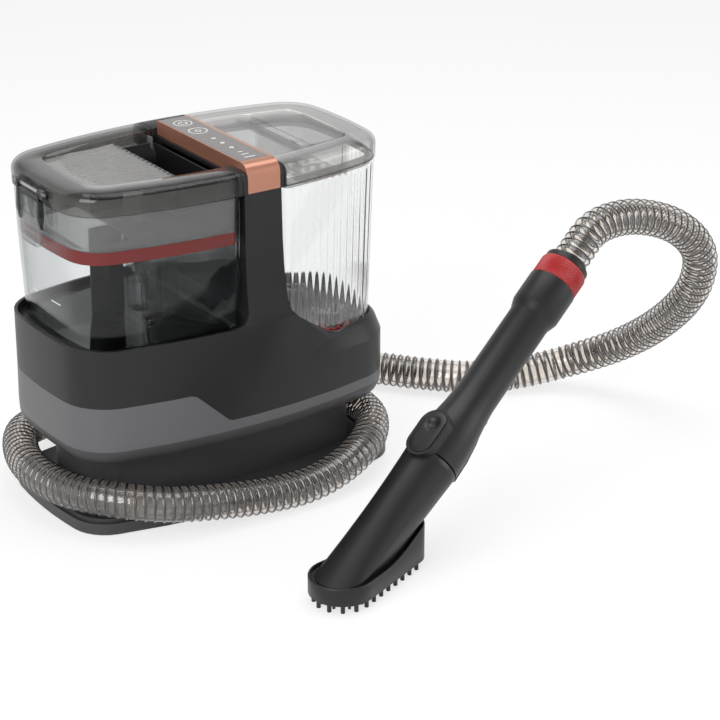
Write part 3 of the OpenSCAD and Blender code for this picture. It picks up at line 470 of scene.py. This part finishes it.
def softbox(name, where, target, size, watts):
    """Rectangular lamp, sizes in metres."""
    data = bpy.data.lights.new(name, "AREA")
    data.shape, data.size, data.size_y, data.energy = "RECTANGLE", *size, watts
    aim(linked(name, data), where, Vector(target) - Vector(where))


def light_path(tree):
    """The light path, and a value of 1 for rays that come from the camera,
    straight or through a clear wall."""
    ray = add(tree, "LightPath")
    return ray, add(tree, "Math", {"operation": "MAXIMUM"},
                    {0: (ray, "Is Camera Ray"), 1: (ray, "Is Transmission Ray")})


def white_room():
    """World that the camera sees white. Gloss sees white walls that darken
    towards the ceiling, and all else is lit with 0.55."""
    world = bpy.data.worlds.new("white room")
    bpy.context.scene.world = world
    tree = empty_nodes(world)
    ray, clear = light_path(tree)
    place = add(tree, "TexCoord")
    xyz = add(tree, "SeparateXYZ", None, {"Vector": (place, "Generated")})
    walls = add(tree, "MapRange",
                {"From Min": 0.25, "From Max": 0.8, "To Min": 1.0, "To Max": 0.3},
                {"Value": (xyz, "Z")})
    mirrored = add(tree, "Math", {"operation": "MULTIPLY"},
                   {0: (walls, "Result"), 1: (ray, "Is Glossy Ray")})
    other = add(tree, "Math", {"operation": "MULTIPLY_ADD", 1: -0.55, 2: 0.55},
                {0: (ray, "Is Glossy Ray")})
    lit = add(tree, "Math", {"operation": "ADD"}, {0: (mirrored, "Value"), 1: (other, "Value")})
    strength = add(tree, "Math", {"operation": "MAXIMUM"},
                   {0: (clear, "Value"), 1: (lit, "Value")})
    sky = add(tree, "Background", {"Color": (1, 1, 1, 1)}, {"Strength": (strength, "Value")})
    add(tree, "OutputWorld", None, {"Surface": (sky, "Background")})


def paper_floor():
    """Floor of matt white paper. To the camera and to gloss 0.72 of it
    glows white, so that only a faint shadow stays."""
    mat = bpy.data.materials.new("White paper floor")
    tree = empty_nodes(mat)
    ray, clear = light_path(tree)
    seen = add(tree, "Math", {"operation": "MAXIMUM"},
               {0: (clear, "Value"), 1: (ray, "Is Glossy Ray")})
    share = add(tree, "Math", {"operation": "MULTIPLY", 1: 0.72}, {0: (seen, "Value")})
    paper = add(tree, "BsdfDiffuse", {"Color": (0.86, 0.86, 0.86, 1)})
    white = add(tree, "Emission", {"Color": (1, 1, 1, 1), "Strength": 1.0})
    mix = add(tree, "MixShader", None,
              {0: (share, "Value"), 1: (paper, "BSDF"), 2: (white, "Emission")})
    add(tree, "OutputMaterial", None, {"Surface": (mix, "Shader")})
    z = -0.0004
    mesh = bpy.data.meshes.new("floor")
    mesh.from_pydata([(-4, -4, z), (5, -4, z), (5, 6, z), (-4, 6, z)], [], [(0, 1, 2, 3)])
    mesh.materials.append(mat)
    floor = linked("floor", mesh)


def set_stage():
    """A long lens from the front left, three soft lamps, a white room and a
    pale floor. The camera looks at a point to the right of the neck."""
    scene = bpy.context.scene
    az, el = math.radians(-34), math.radians(23)
    back = np.array([math.sin(az) * math.cos(el), -math.cos(az) * math.cos(el), math.sin(el)])
    cam = linked("camera", bpy.data.cameras.new("camera"))
    cam.data.sensor_width, cam.data.lens, cam.data.clip_end = 36.0, 120.0, 50.0
    aim(cam, np.array([0.182, 0, 0.067]) + back * 2.4, -back)
    scene.camera = cam
    scene.view_settings.view_transform = "Standard"
    # Enough for a look through both tanks with their lids and trays
    scene.cycles.transparent_max_bounces = 40
    softbox("left softbox", (-1.6, -0.9, 1.1), (0.05, -0.05, 0.15), (1.2, 1.4), 26)
    softbox("top softbox", (0.3, 0.1, 2.0), (0.1, -0.05, 0.1), (1.8, 1.4), 24)
    softbox("right softbox", (1.9, -1.3, 0.9), (0.15, -0.1, 0.15), (0.9, 1.4), 12)
    white_room()
    paper_floor()


set_stage()


# ---- hose -------------------------------------------------------------------
def smooth_route(points, steps):
    """Cubic through the points: each stretch's end tangents run along the
    chord between its neighbours, as long as the stretch, and the first and
    last stretches are straight."""
    p = np.asarray(points, float)
    d = np.empty_like(p)
    d[1:-1] = p[2:] - p[:-2]
    d[0] = d[1] = p[1] - p[0]
    d[-1] = d[-2] = p[-1] - p[-2]
    d /= np.linalg.norm(d, axis=1)[:, None]
    length = np.linalg.norm(np.diff(p, axis=0), axis=1)[:, None, None]
    t = (np.arange(steps) / steps)[None, :, None]
    a, b = p[:-1, None], p[1:, None]
    ta, tb = d[:-1, None] * length, d[1:, None] * length
    q = (a * (2 * t**3 - 3 * t**2 + 1) + ta * (t**3 - 2 * t**2 + t)
         + b * (3 * t**2 - 2 * t**3) + tb * (t**3 - t**2))
    return np.concatenate([q.reshape(-1, 3), p[-1:]])


def run_along(route, count):
    """count points evenly spaced along a route, the direction at each, the
    length of the route and how far along it each point is."""
    step = np.linalg.norm(np.diff(route, axis=0), axis=1)
    s = np.concatenate([[0], np.cumsum(step)])
    want = np.linspace(0, s[-1], count)
    line = np.stack([np.interp(want, s, route[:, k]) for k in range(3)], -1)
    way = np.gradient(line, axis=0)
    return line, way / np.linalg.norm(way, axis=1)[:, None], s[-1], want


def make_hose():
    """A tube of radius wall + 1.3 exp(-(d / 0.14)^4) + 0.2 sin(pi phase)^2
    along the route, where phase is turns along less turns round and d its
    distance from a whole number, so a narrow ridge winds as one spiral over
    a slightly full wall. A plain bore meets it at both ends. The UV map
    turns holds turns along and turns round."""
    route = smooth_route(HOSE_ROUTE, 16)
    turns = round(run_along(route, 3)[2] / HOSE_PITCH)
    per_turn, around = 16, 24
    line, way, total, s = run_along(route, turns * per_turn + 1)
    side = np.cross(way, [0, 0, 1.0])
    side /= np.linalg.norm(side, axis=1)[:, None]
    up = np.cross(way, side)
    along, round_it = s / total * turns, np.arange(around) / around
    ang = 2 * math.pi * round_it
    phase = along[:, None] - round_it[None, :]
    off = np.abs(phase - np.round(phase))
    r = HOSE_WALL_R + 1.3 * np.exp(-(off / 0.14) ** 4) + 0.2 * np.sin(math.pi * phase) ** 2
    r[0], r[-1] = HOSE_CREST_R, HOSE_CREST_R
    ring = np.cos(ang)[None, :, None] * side[:, None] + np.sin(ang)[None, :, None] * up[:, None]
    # The bore runs back from the far end with one ring for each turn.
    pick = np.linspace(0, len(line) - 1, turns + 1).astype(int)[::-1]
    grid = np.concatenate([line[:, None] + r[..., None] * ring,
                           line[pick, None] + HOSE_BORE_R * ring[pick]])
    obj = piece("ribbed_hose", skin(grid, ring=True), hose_pvc, "body", ["hose"], sharp=80,
                shell=False)
    corners = np.empty(len(obj.data.loops), int)
    obj.data.loops.foreach_get("vertex_index", corners)
    row, col = corners // around, corners % around
    # Column 0 is also the far side of the last column's faces, at 1 turn.
    last = np.repeat(col.reshape(-1, 4).sum(1), 4) >= around - 1
    coords = np.stack([np.concatenate([along, along[pick]])[row],
                       np.where((col == 0) & last, 1.0, col / around)], -1)
    uv = obj.data.uv_layers.new(name="turns")
    uv.data.foreach_set("uv", coords.astype(np.float32).ravel())


make_hose()


# ---- lids -------------------------------------------------------------------
def turn(centre, r, a, b, n=7):
    """n points on a circle from a to b degrees, as (offset, height) rows."""
    t = np.radians(np.linspace(a, b, n))
    return np.stack([centre[0] + r * np.cos(t), centre[1] + r * np.sin(t)], -1)


# Section of a lid's rim, as offset from the body's plan and height: the skin
# from the skirt over a round shoulder to the edge of the recess, then the wall
SHOULDER = (-6.8, 316.8)
RIM_SKIN = np.concatenate([
    [(0.8, 304.1), (1.2, 305.4)], turn(SHOULDER, 8.0, 0, 90),
    [(-10, LID_TOP), (-25.4, LID_TOP), (-27.0, 324.3), (-27.7, 322.8)]])
RIM_WALL = np.concatenate([
    RIM_SKIN, [(-28.4, 317.2), (-26.2, 317.2), (-25.6, 321.9), (-24.8, 322.6), (-8.6, 322.6)],
    turn(SHOULDER, 5.6, 90, 0), [(-1.2, 304.1)]])
# How far left and right of the body's middle the lids end beside the strip,
# and the two ends of the grip opening along X
DIRTY_LID_X, CLEAN_LID_X = 13.0, 38.5
OPENING_X = (-52, -13)


def lid_rim(side, x_end):
    """Broad rim of a lid: its section carried round the end, a 2.4 mm wall.
    The left one has a notch behind the latch."""
    grid = np.stack([at(round_end(side, d, x_end), z) for d, z in RIM_WALL])
    if side < 0:
        notch_x = -161.8
        x, y, z = grid[..., 0], grid[..., 1], grid[..., 2]
        behind = (np.abs(y - LATCH_Y) < 23) & (z > 308) & (z < 319)
        grid[..., 0] = np.where(behind & (x < notch_x), notch_x, x)
    return capped(grid)


def side_bar(section, x, front):
    """A section (offset, height) carried along the bowed front or back."""
    x = np.linspace(x[0], x[1], 9)
    sign = -1 if front else 1
    return capped(np.stack([np.stack([x, sign * bow(d, x), np.full(9, z)], -1)
                            for d, z in section]))


def side_bars(section, x):
    """A section carried along both the front and the back."""
    return join(*[side_bar(section, x, front) for front in (True, False)])


def ridged_deck():
    """Deck in the left recess: z falls 3 mm from the end to the opening, with
    ridges ((1 + cos) / 2)^2 of 1.9 mm high every 7.7 mm. They fade in over the
    first 10 mm behind an edge line x = -129 + 0.0054 y^2, and out over the last
    2 mm before the sides."""
    last = OPENING_X[0]
    edge = round_end(-1, -28.3, DIRTY_LID_X)
    y = np.linspace(-63.9, 63.9, 333)
    start = np.maximum(np.interp(y, edge[::-1, 1], edge[::-1, 0]), -137.5)
    t = np.linspace(0, 1, 60)[:, None] ** 1.3
    x = start + t * np.maximum(last - start, 0.01)
    y = np.broadcast_to(y, x.shape)
    fade = np.clip((x + 129 - 0.0054 * y ** 2) / 10, 0, 1)
    fade = fade * fade * (3 - 2 * fade) * np.clip((bow(-29.5, x) - np.abs(y)) / 2, 0, 1)
    ridge = 1.9 * (0.5 + 0.5 * np.cos(2 * math.pi * y / 7.7)) ** 2
    z = 317.6 + 3.0 * (last - x) / 86 + fade * ridge
    return skin(np.stack([x, y, z], -1)[:, ::-1], closed=False)


latch_stops = [block((-171, -164.6), (LATCH_Y + y - 3, LATCH_Y + y + 3), (311, 319))
               for y in (-26, 26)]
piece("dirty_lid_rim", join(lid_rim(-1, DIRTY_LID_X), *latch_stops),
      smoked_san, "dirty_lid_unit", ["dirty_lid"])
piece("dirty_lid_deck", ridged_deck(), ridged_san, "dirty_lid_unit", ["dirty_lid"],
      wall=2.0, shell=False)
hanging = [(-28.4, 317.2), (-28.4, 311.2), (-26.4, 311.2), (-26.2, 317.2)]
piece("opening_walls", join(side_bars(hanging, OPENING_X),
                            block((-53.6, -51.4), (-64.4, 64.4), (312, 319.4))),
      smoked_san, "dirty_lid_unit", ["dirty_lid"], bevel=0.5)


def tub(x, y, z, flare, wall):
    """Open tub with round corners and a brim flared along Y: rounded
    rectangles joined from the outer bottom over the brim to the inner one."""
    middle = [(x[0] + x[1]) / 2, (y[0] + y[1]) / 2]

    def ring(grow, widen, height):
        """Rounded rectangle grown all round, and widened more along Y."""
        hx, hy = (x[1] - x[0]) / 2 + grow, (y[1] - y[0]) / 2 + grow
        r = max(5 + grow, 1.0)
        quarters = ((1, 1, 0), (-1, 1, 0.5), (-1, -1, 1), (1, -1, 1.5))
        q = np.concatenate([
            arc((sx * (hx - r), sy * (hy - r)), r, a * math.pi, a * math.pi + math.pi / 2, 6)
            for sx, sy, a in quarters])
        q[:, 1] += np.sign(q[:, 1]) * widen
        return at(q + middle, height)

    low, brim, top = z[1] - 9, z[1] - 1.5, z[1]
    rows = [(0, 0, z[0]), (0, 0, low), (0, flare, brim), (0, flare, top), (-wall, flare, top),
            (-wall, flare, brim), (-wall, 0, low), (-wall, 0, z[0] + wall)]
    return skin(np.stack([ring(*row) for row in rows]), start=True, end=True)


piece("grip_tub", tub((-51.9, -8.4), (-55, 60), (286, 312.6), 4.6, 2.0),
      black_abs, "dirty_lid_unit", ["grip_well"], bevel=0.4)

END_BLOCK = np.concatenate([RIM_SKIN, [(-28, 304.1)]])
BACK_BLOCK = np.concatenate([RIM_SKIN, [(-28.6, 304.1)]])
piece("end_blocks", join(side_bar(END_BLOCK, (-7.9, -3.1), True),
                         side_bar(END_BLOCK, (31.1, 35.7), True),
                         side_bar(BACK_BLOCK, (-7.9, 35.7), False)),
      black_abs, "body", bevel=0.5)
piece("dirty_lid_end_blocks", side_bars(END_BLOCK, (-12.9, -8.3)),
      black_abs, "dirty_lid_unit", bevel=0.5)
piece("clean_lid_end_blocks", side_bars(END_BLOCK, (36.1, 38.3)),
      black_abs, "clean_tank_unit", bevel=0.5)


def rod_between(a, b, r):
    """Closed rod of 16 sides and radius r from a to b."""
    a, b = np.asarray(a, float), np.asarray(b, float)
    way = (b - a) / np.linalg.norm(b - a)
    e = np.cross(way, [0.3, 0.4, 0.866])
    e /= np.linalg.norm(e)
    f = np.cross(way, e)
    t = np.arange(16) / 16 * 2 * math.pi
    ring = r * (np.cos(t)[:, None] * e + np.sin(t)[:, None] * f)
    return skin(np.stack([a + ring, b + ring]), start=True, end=True)


piece("clean_lid_rim", lid_rim(1, CLEAN_LID_X), light_smoke, "clean_tank_unit", ["clean_lid"])
# Heights of the deck with its flap and of the trough under the flap, and the
# basin's opening in the trough
DECK_Z, TROUGH_Z = (321.4, 323.4), (316.8, 318.8)
BASIN = np.array([(89, -41), (142, -41), (142, 41), (89, 41)], float)
# Edge of the deck beside the flap, with two cut-outs for its hinges
HINGE_EDGE = [(91.2, -55.5), (91.2, -40.4), (81, -40.4), (81, -31.6), (91.2, -31.6),
              (91.2, 31.6), (81, 31.6), (81, 40.4), (91.2, 40.4), (91.2, 55.5)]
HINGE_YS = (-36, 36)
recess = round_end(1, -28.3, CLEAN_LID_X + 0.1)
fixed = recess[recess[:, 0] < 88]
deck = np.concatenate([fixed[fixed[:, 1] > 0][::-1], fixed[fixed[:, 1] < 0][::-1], HINGE_EDGE])
trough = np.concatenate([[(78, 58)], recess[recess[:, 0] > 80], [(78, -58)]])
piece("clean_lid_deck", join(plate(deck[::-1], [], *DECK_Z), plate(trough, [BASIN], *TROUGH_Z),
                             block((78, 80), (-57, 57), (318.6, 321.5))),
      light_smoke, "clean_tank_unit", ["clean_lid"], bevel=0.3)
leaf = round_end(1, -29.4, CLEAN_LID_X + 0.1)
leaf = np.concatenate([[(92.2, 55.5)], leaf[leaf[:, 0] > 95], [(92.2, -55.5)]])
knuckles = [block((82.6, 93), (y - 4, y + 4), (321.8, 323.2)) for y in HINGE_YS]
piece("fill_flap_leaf", join(plate(leaf, [], *DECK_Z), *knuckles),
      light_smoke, "flap_unit", ["fill_flap"], bevel=0.3)
pins = [rod_between((83.5, y - 4.3, 322.5), (83.5, y + 4.3, 322.5), 0.8) for y in HINGE_YS]
piece("flap_pins", join(*pins), plain_steel, "clean_tank_unit", ["flap_pin"])


# ---- clean tank -------------------------------------------------------------
VALVE, VALVE_R = (115, -47), 8
FLUTE_DEEP, FLUTE_PITCH = 0.6, 8.4
# Rows of the tank's outside and inside: offset from the body's plan, X of the
# flat wall and height, and inside also how much of the flutes' depth it has
TANK_OUTSIDE = [(-10, 42, 134), (-7.6, 39.4, 135.4), (-6.5, 38.6, 138), (-5.0, 38.3, 178),
                (-2.0, 37.5, 260), (-0.4, 37, 303.8)]
TANK_INSIDE = [(-2.9, 39.5, 303.8, 0), (-3.0, 39.5, 299, 0), (-3.1, 39.6, 296, 1),
               (-4.6, 40, 250, 1), (-6.6, 40.5, 190, 1), (-8.5, 41, 144, 1),
               (-8.9, 41.1, 140.5, 0), (-12.1, 45, 137, 0)]


def flat_end(d, xc, rf):
    """Closed plan of the right end offset d, with a flat wall at x = xc and
    a fillet rf at its two ends, in steps fine enough for the flutes."""
    rc, sr = CORNER_R + d, SIDE_R + d
    s, e, c, a1, a2 = corner(HALF_L + d, HALF_W + d, sr, END_R + d, rc)
    fy = s[1] + math.sqrt((sr - rf) ** 2 - (xc + rf) ** 2)
    a3 = math.atan2(fy - s[1], xc + rf)
    q = np.concatenate([arc(e, END_R + d, 0, a1, 110), arc(c, rc, a1, a2, 70),
                        arc(s, sr, a2, a3, 150), arc((xc + rf, fy), rf, a3, math.pi, 10),
                        [[xc, fy]]])
    return np.concatenate([q, q[:0:-1] * [1, -1]])


def fluted_tank():
    """Clean tank as one closed skin: up the smooth outer wall, over the rim
    and down the inner wall, whose flutes stand (1 + cos) / 2 of their depth
    high along the wall's length. The floor has the valve's hole."""
    base = flat_end(-3, 39.6, 5)
    step = np.linalg.norm(np.diff(base, axis=0, append=base[:1]), axis=1)
    s = np.cumsum(step) - step
    away = np.clip((base[:, 0] - 42) / 5, 0, 1)
    flute = (0.5 + 0.5 * np.cos(2 * math.pi * s / FLUTE_PITCH)) * away
    rows = [at(flat_end(d, xc, 6), z) for d, xc, z in TANK_OUTSIDE]
    for d, xc, z, deep in TANK_INSIDE:
        near, far = flat_end(d, xc, 5), flat_end(d - FLUTE_DEEP, xc, 5)
        rows.append(at(near + (far - near) * (flute * deep)[:, None], z))
    t = np.arange(32) / 32 * 2 * math.pi
    hole = np.stack([VALVE[0] + VALVE_R * np.cos(t), VALVE[1] + VALVE_R * np.sin(t)], -1)
    parts = [skin(np.stack(rows))]
    for ring in (rows[0], rows[-1]):
        rim = at(hole, ring[0, 2])
        tri = tessellate_polygon([ring.tolist(), rim.tolist()])
        parts.append((np.concatenate([ring, rim]), [list(q) for q in tri]))
    parts.append(skin(np.stack([at(hole, rows[0][0, 2]), at(hole, rows[-1][0, 2])])))
    return join(*parts)


piece("fluted_clean_tank", fluted_tank(), fluted_san, "clean_tank_unit", ["clean_tank"],
      sharp=50)
legs = [block((VALVE[0] + x, VALVE[0] + x + 3), (-50, -44), (136.8, 155)) for x in (-18.5, 15.5)]
beam = block((VALVE[0] - 18.5, VALVE[0] + 18.5), (-50, -44), (152.6, 155))
piece("valve_bridge", join(*legs, beam),
      clear_san, "clean_tank_unit", ["clean_tank"], bevel=0.4)


# ---- inside the dirty tank --------------------------------------------------
piece("slosh_baffle", block((-103, -69), (21.1, 23.1), (174.9, 257.6)),
      inner_pp, "dirty_tank_unit", bevel=0.4)
piece("separator_baffle", block((-100, -66), (21.1, 23.1), (272.3, 303.0)),
      inner_pp, "dirty_lid_unit", bevel=0.4)


LEVEL_Z = (211, 211.9)


def level_mark(y0, y1):
    """Printed bar 0.25 mm thick that follows the tank's end from y0 to y1."""
    line = round_end(-1, -3.65, DIRTY_LID_X)
    bar = line[(line[:, 0] < -150) & (line[:, 1] > y0) & (line[:, 1] < y1)]
    section = [(-0.15, LEVEL_Z[0]), (-0.15, LEVEL_Z[1]), (0.1, LEVEL_Z[1]), (0.1, LEVEL_Z[0])]
    return capped(np.stack([at(bar + [x, 0], z) for x, z in section]))


piece("level_line", join(level_mark(-30, -12), level_mark(13, 25)),
      key_print, "dirty_tank_unit")


# ---- tank latch -------------------------------------------------------------
def turned(surface, order):
    """A surface with its coordinates taken in another order."""
    return surface[0][:, order], surface[1]


def latch_row(*points):
    """Points (y from the latch's middle, z) as an array."""
    return np.array(points, float) + [LATCH_Y, 0]


# Outlines of the paddle and its window in (y, z), and of the hook at its foot
# and the arms beside it in (x, z)
paddle = np.concatenate([arc((LATCH_Y - 9, 275), 13, math.pi, 1.5 * math.pi, 10),
                         arc((LATCH_Y + 9, 275), 13, 1.5 * math.pi, 2 * math.pi, 10),
                         latch_row((22, 292), (20, 312), (-20, 312), (-22, 292))])
window = latch_row((-10, 290), (10, 290), (10, 306), (-10, 306))
hook = np.array([(-168, 268), (-168, 271), (-170.6, 274), (-173.2, 264), (-171.4, 264)])
arm = np.array([(-171, 317.8), (-168.4, 317.8), (-166.4, 303), (-166.4, 290), (-168.4, 281),
                (-170.2, 281), (-172.2, 292), (-171.8, 300)])
piece("latch_paddle", join(turned(plate(paddle, [window], -170.6, -168.2), [2, 0, 1]),
                           turned(plate(hook, [], LATCH_Y - 11, LATCH_Y + 11), [0, 2, 1])),
      clear_san, "latch_unit", ["tank_latch"], bevel=0.5)
arms = [turned(plate(arm, [], LATCH_Y + y, LATCH_Y + y + 4), [0, 2, 1]) for y in (-22, 18)]
crossbar = block((-171, -168), (LATCH_Y - 19, LATCH_Y + 19), (306, 309))
piece("latch_arms", join(*arms, crossbar),
      deep_smoke, "latch_unit", ["tank_latch"], bevel=0.5)


# ---- carrying strip ---------------------------------------------------------
def ribbon(section, x):
    """A closed (y, z) section carried along X."""
    grid = np.empty((len(section), 2, 3))
    grid[..., 0] = x
    grid[..., 1:] = np.asarray(section, float)[:, None]
    return capped(grid)


front_bend = turn((-84.3, 319.8), 12.0, 90, 180, 13)
back_bend = turn((64.0, 328.8), 3.0, 0, 90, 6)
strip = np.concatenate([[(67.0, 318.0)], back_bend, front_bend,
                        [(-96.3, 305.0), (-95.3, 304.6), (-94.8, 305.0), (-94.8, 318.0)]])
piece("copper_strip", ribbon(strip, (-3.0, 31.0)), copper_lacquer, "body", ["copper_trim"],
      sharp=40, bevel=0.7, segments=3)
piece("key_panel", block((-1.9, 27.4), (-81.0, 64.0), (330.8, STRIP_TOP - 0.05)), key_film,
      "body", ["panel_glass"], bevel=0.06, segments=1)

# The print stands 0.05 mm proud of the panel, and its keys lie on one line.
PRINT_Z = (331.9, STRIP_TOP)
KEY_X = 12.5


def ring_mark(y, r, width, a=0, b=360):
    """Printed ring, or part of one from a to b degrees."""
    full = b - a >= 360
    t = np.radians(np.linspace(a, b, 49))[:48 if full else 49]
    outer, inner = r + width / 2, r - width / 2
    rows = [(outer, PRINT_Z[0]), (outer, PRINT_Z[1]), (inner, PRINT_Z[1]), (inner, PRINT_Z[0])]
    grid = np.stack([at(np.stack([KEY_X + q * np.cos(t), y + q * np.sin(t)], -1), z)
                     for q, z in rows])
    return skin(grid, ring=True) if full else capped(grid)


def dash(y, sx, sy):
    """Printed dash."""
    return block((KEY_X - sx / 2, KEY_X + sx / 2), (y - sy / 2, y + sy / 2), PRINT_Z)


# Power key, a second round key, three dots and three bars that get longer
marks = [ring_mark(45, 8.6, 0.9), ring_mark(45, 4.0, 1.0, 125, 415), dash(48.2, 1.0, 4.4),
         ring_mark(17, 8.6, 0.9), ring_mark(17, 2.6, 1.0)]
marks += [ring_mark(y, 1.5, 1.2) for y in (-11, -27, -43)]
marks += [dash(y, w, 1.3) for y, w in ((-58, 5.0), (-66, 8.0), (-74.5, 11.0))]
piece("key_marks", join(*marks), key_print, "body")


# ---- lock ring --------------------------------------------------------------
RING_RIBS = 72
# Rows along the ring: distance along the wand, radius, share of the ribs
RING_ROWS = [(333.4, 21.4, 0), (333.6, 22.2, 0), (334.4, 22.5, 0.3), (335.2, 22.55, 1),
             (344, 22.55, 1), (353.2, 22.55, 1), (354.0, 22.5, 0.3), (354.8, 22.2, 0),
             (355.1, 21.4, 0), (355.1, 18.6, 0), (333.4, 18.6, 0)]


def ribbed_ring():
    """Lock ring round the wand's axis: a middle of radius 22.55 + 0.42
    cos(ribs angle) that fades to plain rims, over a bore of 18.6."""
    n = RING_RIBS * 6
    t = np.arange(n) / n * 2 * math.pi
    rib = 0.42 * np.cos(RING_RIBS * t)
    grid = np.stack([np.stack([np.full(n, s), (r + rib * k) * np.cos(t),
                               (r + rib * k) * np.sin(t)], -1) for s, r, k in RING_ROWS])
    return skin(on_wand(grid), ring=True)


piece("ribbed_lock_ring", ribbed_ring(), red_abs, "ring_unit", ["lock_ring"], sharp=60)


# ---- brush tool -------------------------------------------------------------
def egg(g):
    """Plate outline grown by g: big toe arc and small heel arc joined by
    tangents, 120 points spaced by the length of the outline at g = 0. With
    them come the direction that each faces and an angle that grows evenly
    along the outline. It starts at the heel."""
    tangent = math.sqrt((HEEL_X - TOE_X) ** 2 - (TOE_R - HEEL_R) ** 2)
    marks = np.cumsum([0, HEEL_R * EGG_A, tangent, TOE_R * (math.pi - EGG_A)])
    u = np.linspace(0, marks[-1], 61)
    face = np.interp(u, marks, [0, EGG_A, EGG_A, math.pi])
    cx = np.interp(u, marks, [HEEL_X, HEEL_X, TOE_X, TOE_X])
    r = np.interp(u, marks, [HEEL_R, HEEL_R, TOE_R, TOE_R]) + g
    half = np.stack([cx + r * np.cos(face), r * np.sin(face)], -1)
    even = u / marks[-1] * math.pi
    return (np.concatenate([half, half[-2:0:-1] * [1, -1]]),
            np.concatenate([face, 2 * math.pi - face[-2:0:-1]]),
            np.concatenate([even, 2 * math.pi - even[-2:0:-1]]))


def rim_height(plan):
    """Top of the plate's rim: level at 25 under the toe, and swept up by 19
    at the heel as a smooth step of x from 0 to 82, to the power 1.6."""
    t = np.clip(plan[:, 0] / 82, 0, 1)
    return 25 + 19 * (t * t * (3 - 2 * t)) ** 1.6


def tool_skin():
    """Tool body: from the rim line of the plate a quadratic curve for each
    direction up to the round joint of radius 25.9, then over its end into
    the socket of radius 13.6. The curves' middle points lie 0.84 as far
    sideways as on a tube of radius 26."""
    plan, face, even = egg(-6)
    a = 0.5 * face + 0.5 * even
    sa, ca = np.sin(a), np.cos(a)

    def tube(s, r):
        """Ring of radius r about the wand's axis, s along it."""
        return np.stack([s * math.cos(PITCH) + r * ca * math.sin(PITCH), r * sa,
                         WAND_FOOT[2] + s * math.sin(PITCH) - r * ca * math.cos(PITCH)], -1)

    top, mid = tube(120.4, 25.9), tube(65 + 20 * ca, 26)
    mid[:, 1] *= 0.84
    low = np.column_stack([plan, rim_height(plan) - 2.4])
    t = np.linspace(1, 0, 25)[:, None, None]
    loft = (1 - t) ** 2 * top + 2 * t * (1 - t) * mid + t * t * low
    deep = np.column_stack([egg(-6.6)[0], np.full(len(plan), 16.2)])
    rows = [deep, *loft, tube(121, 25.3), tube(121, 14.0), tube(121, 13.6), tube(100, 13.6)]
    return skin(on_plate(np.stack(rows)), start=True, end=True)


def plate_rim():
    """Plate wall 2.4 mm thick round the outline, its top edge rounded and
    swept up at the heel, with the ledge that carries the bristles."""
    # Growth of the outline with height above the rim's top, then with height
    swept = [(0, -1.1), (-0.35, -0.35), (-1.1, 0), (-1.9, -0.4), (-2.3, -1.3), (-2.4, -3.0),
             (-7.5, -3.4)]
    level = [(-7.5, 14), (-2.5, 8), (-0.6, 8)]
    top = rim_height(egg(0)[0])
    grid = [at(egg(0)[0], 8.6), *[np.column_stack([egg(g)[0], top + dz]) for g, dz in swept],
            *[at(egg(g)[0], z) for g, z in level]]
    ledge = plate(egg(-2.4)[0], [egg(-12)[0]], 13.7, 16)
    return join(skin(on_plate(np.stack(grid)), ring=True), (on_plate(ledge[0]), ledge[1]))


piece("tool_shell", tool_skin(), wand_abs, "brush_tool_unit", ["tool_body"], sharp=50)
piece("plate_rim", plate_rim(), wand_abs, "brush_tool_unit", ["brush_plate"], sharp=50)


# ---- release button ---------------------------------------------------------
def button_cap():
    """Release button: rings of a stadium that shrink by q, with a height of
    31 less an edge of 0.9 q^10 and a round dimple 2.4 mm deep at x = 144."""
    t = np.arange(64) / 64 * 2 * math.pi
    q = np.concatenate([[1, 1], np.linspace(1, 0, 26) ** 0.6])[:, None]
    x = 135 + q * (10 * np.tanh(6 * np.cos(t)) + 12 * np.cos(t))
    y = q * 12 * np.sin(t)
    z = 31 - 0.9 * q ** 10 - 2.4 * np.exp(-(((x - 144) ** 2 + y ** 2) / 30) ** 2)
    # Below the rounded edge the cap's side goes straight down into the handle.
    z[0], z[1] = 24.5, 29.6
    return skin(on_wand(np.stack([x, y, z], -1)), start=True)


piece("button_cap", button_cap(), wand_abs, "button_unit", ["release_button"], sharp=50)


# ---- CAD nodes with their own shape -----------------------------------------
FINISH = {
    "foot_plate": neck_abs, "rubber_feet": soft_rubber, "housing_screws": plain_steel,
    "neck_shell": neck_abs, "skirt_shell": grey_abs, "upper_housing": black_abs,
    "tray_floor": black_abs, "touch_board": board_green, "control_board": board_green,
    "vacuum_motor": motor_can, "fan_housing": inner_pp, "fan_rotor": motor_can,
    "air_duct": inner_pp, "suction_pipe": inner_pp, "hose_elbow": black_abs,
    "water_pump": inner_pp, "heater": motor_can, "feed_tube": clear_san,
    "solution_tube": clear_san, "mains_gland": soft_rubber, "dirty_tank": clear_san,
    "dirty_riser": clear_san, "float_cage": inner_pp, "float": red_silicone,
    "lid_separator": etched_smoke, "separator_seal": seal_silicone, "latch_pin": plain_steel,
    "lid_basin": light_smoke, "clean_lid_seal": clear_silicone, "valve_seal": red_silicone,
    "valve_poppet": inner_pp, "valve_spring": plain_steel, "hose_cuff": wand_abs,
    "handle_shell": wand_abs, "wand_tube": inner_pp, "trigger": wand_abs,
    "trigger_pin": plain_steel, "trigger_spring": plain_steel, "spray_valve": inner_pp,
    "valve_stem": plain_steel, "release_spring": plain_steel, "brush_bristles": bristle_nylon,
    "suction_lip": clear_san, "spray_nozzle": inner_pp,
}
for node, mat in FINISH.items():
    if not frame["nodes"][node].hide_render:
        dress(node, mat)

# The turned-in lip under the skirt takes the neck's darker colour as painted shade under the
# skirt's edge.
SHADED_LIP_Z = 80.5
lip = bpy.data.objects["skirt_shell_skin"].data
lip.materials.append(neck_abs)
centres = np.empty(len(lip.polygons) * 3)
lip.polygons.foreach_get("center", centres)
lip.polygons.foreach_set("material_index", (centres[2::3] < SHADED_LIP_Z * 0.001).astype(np.int32))
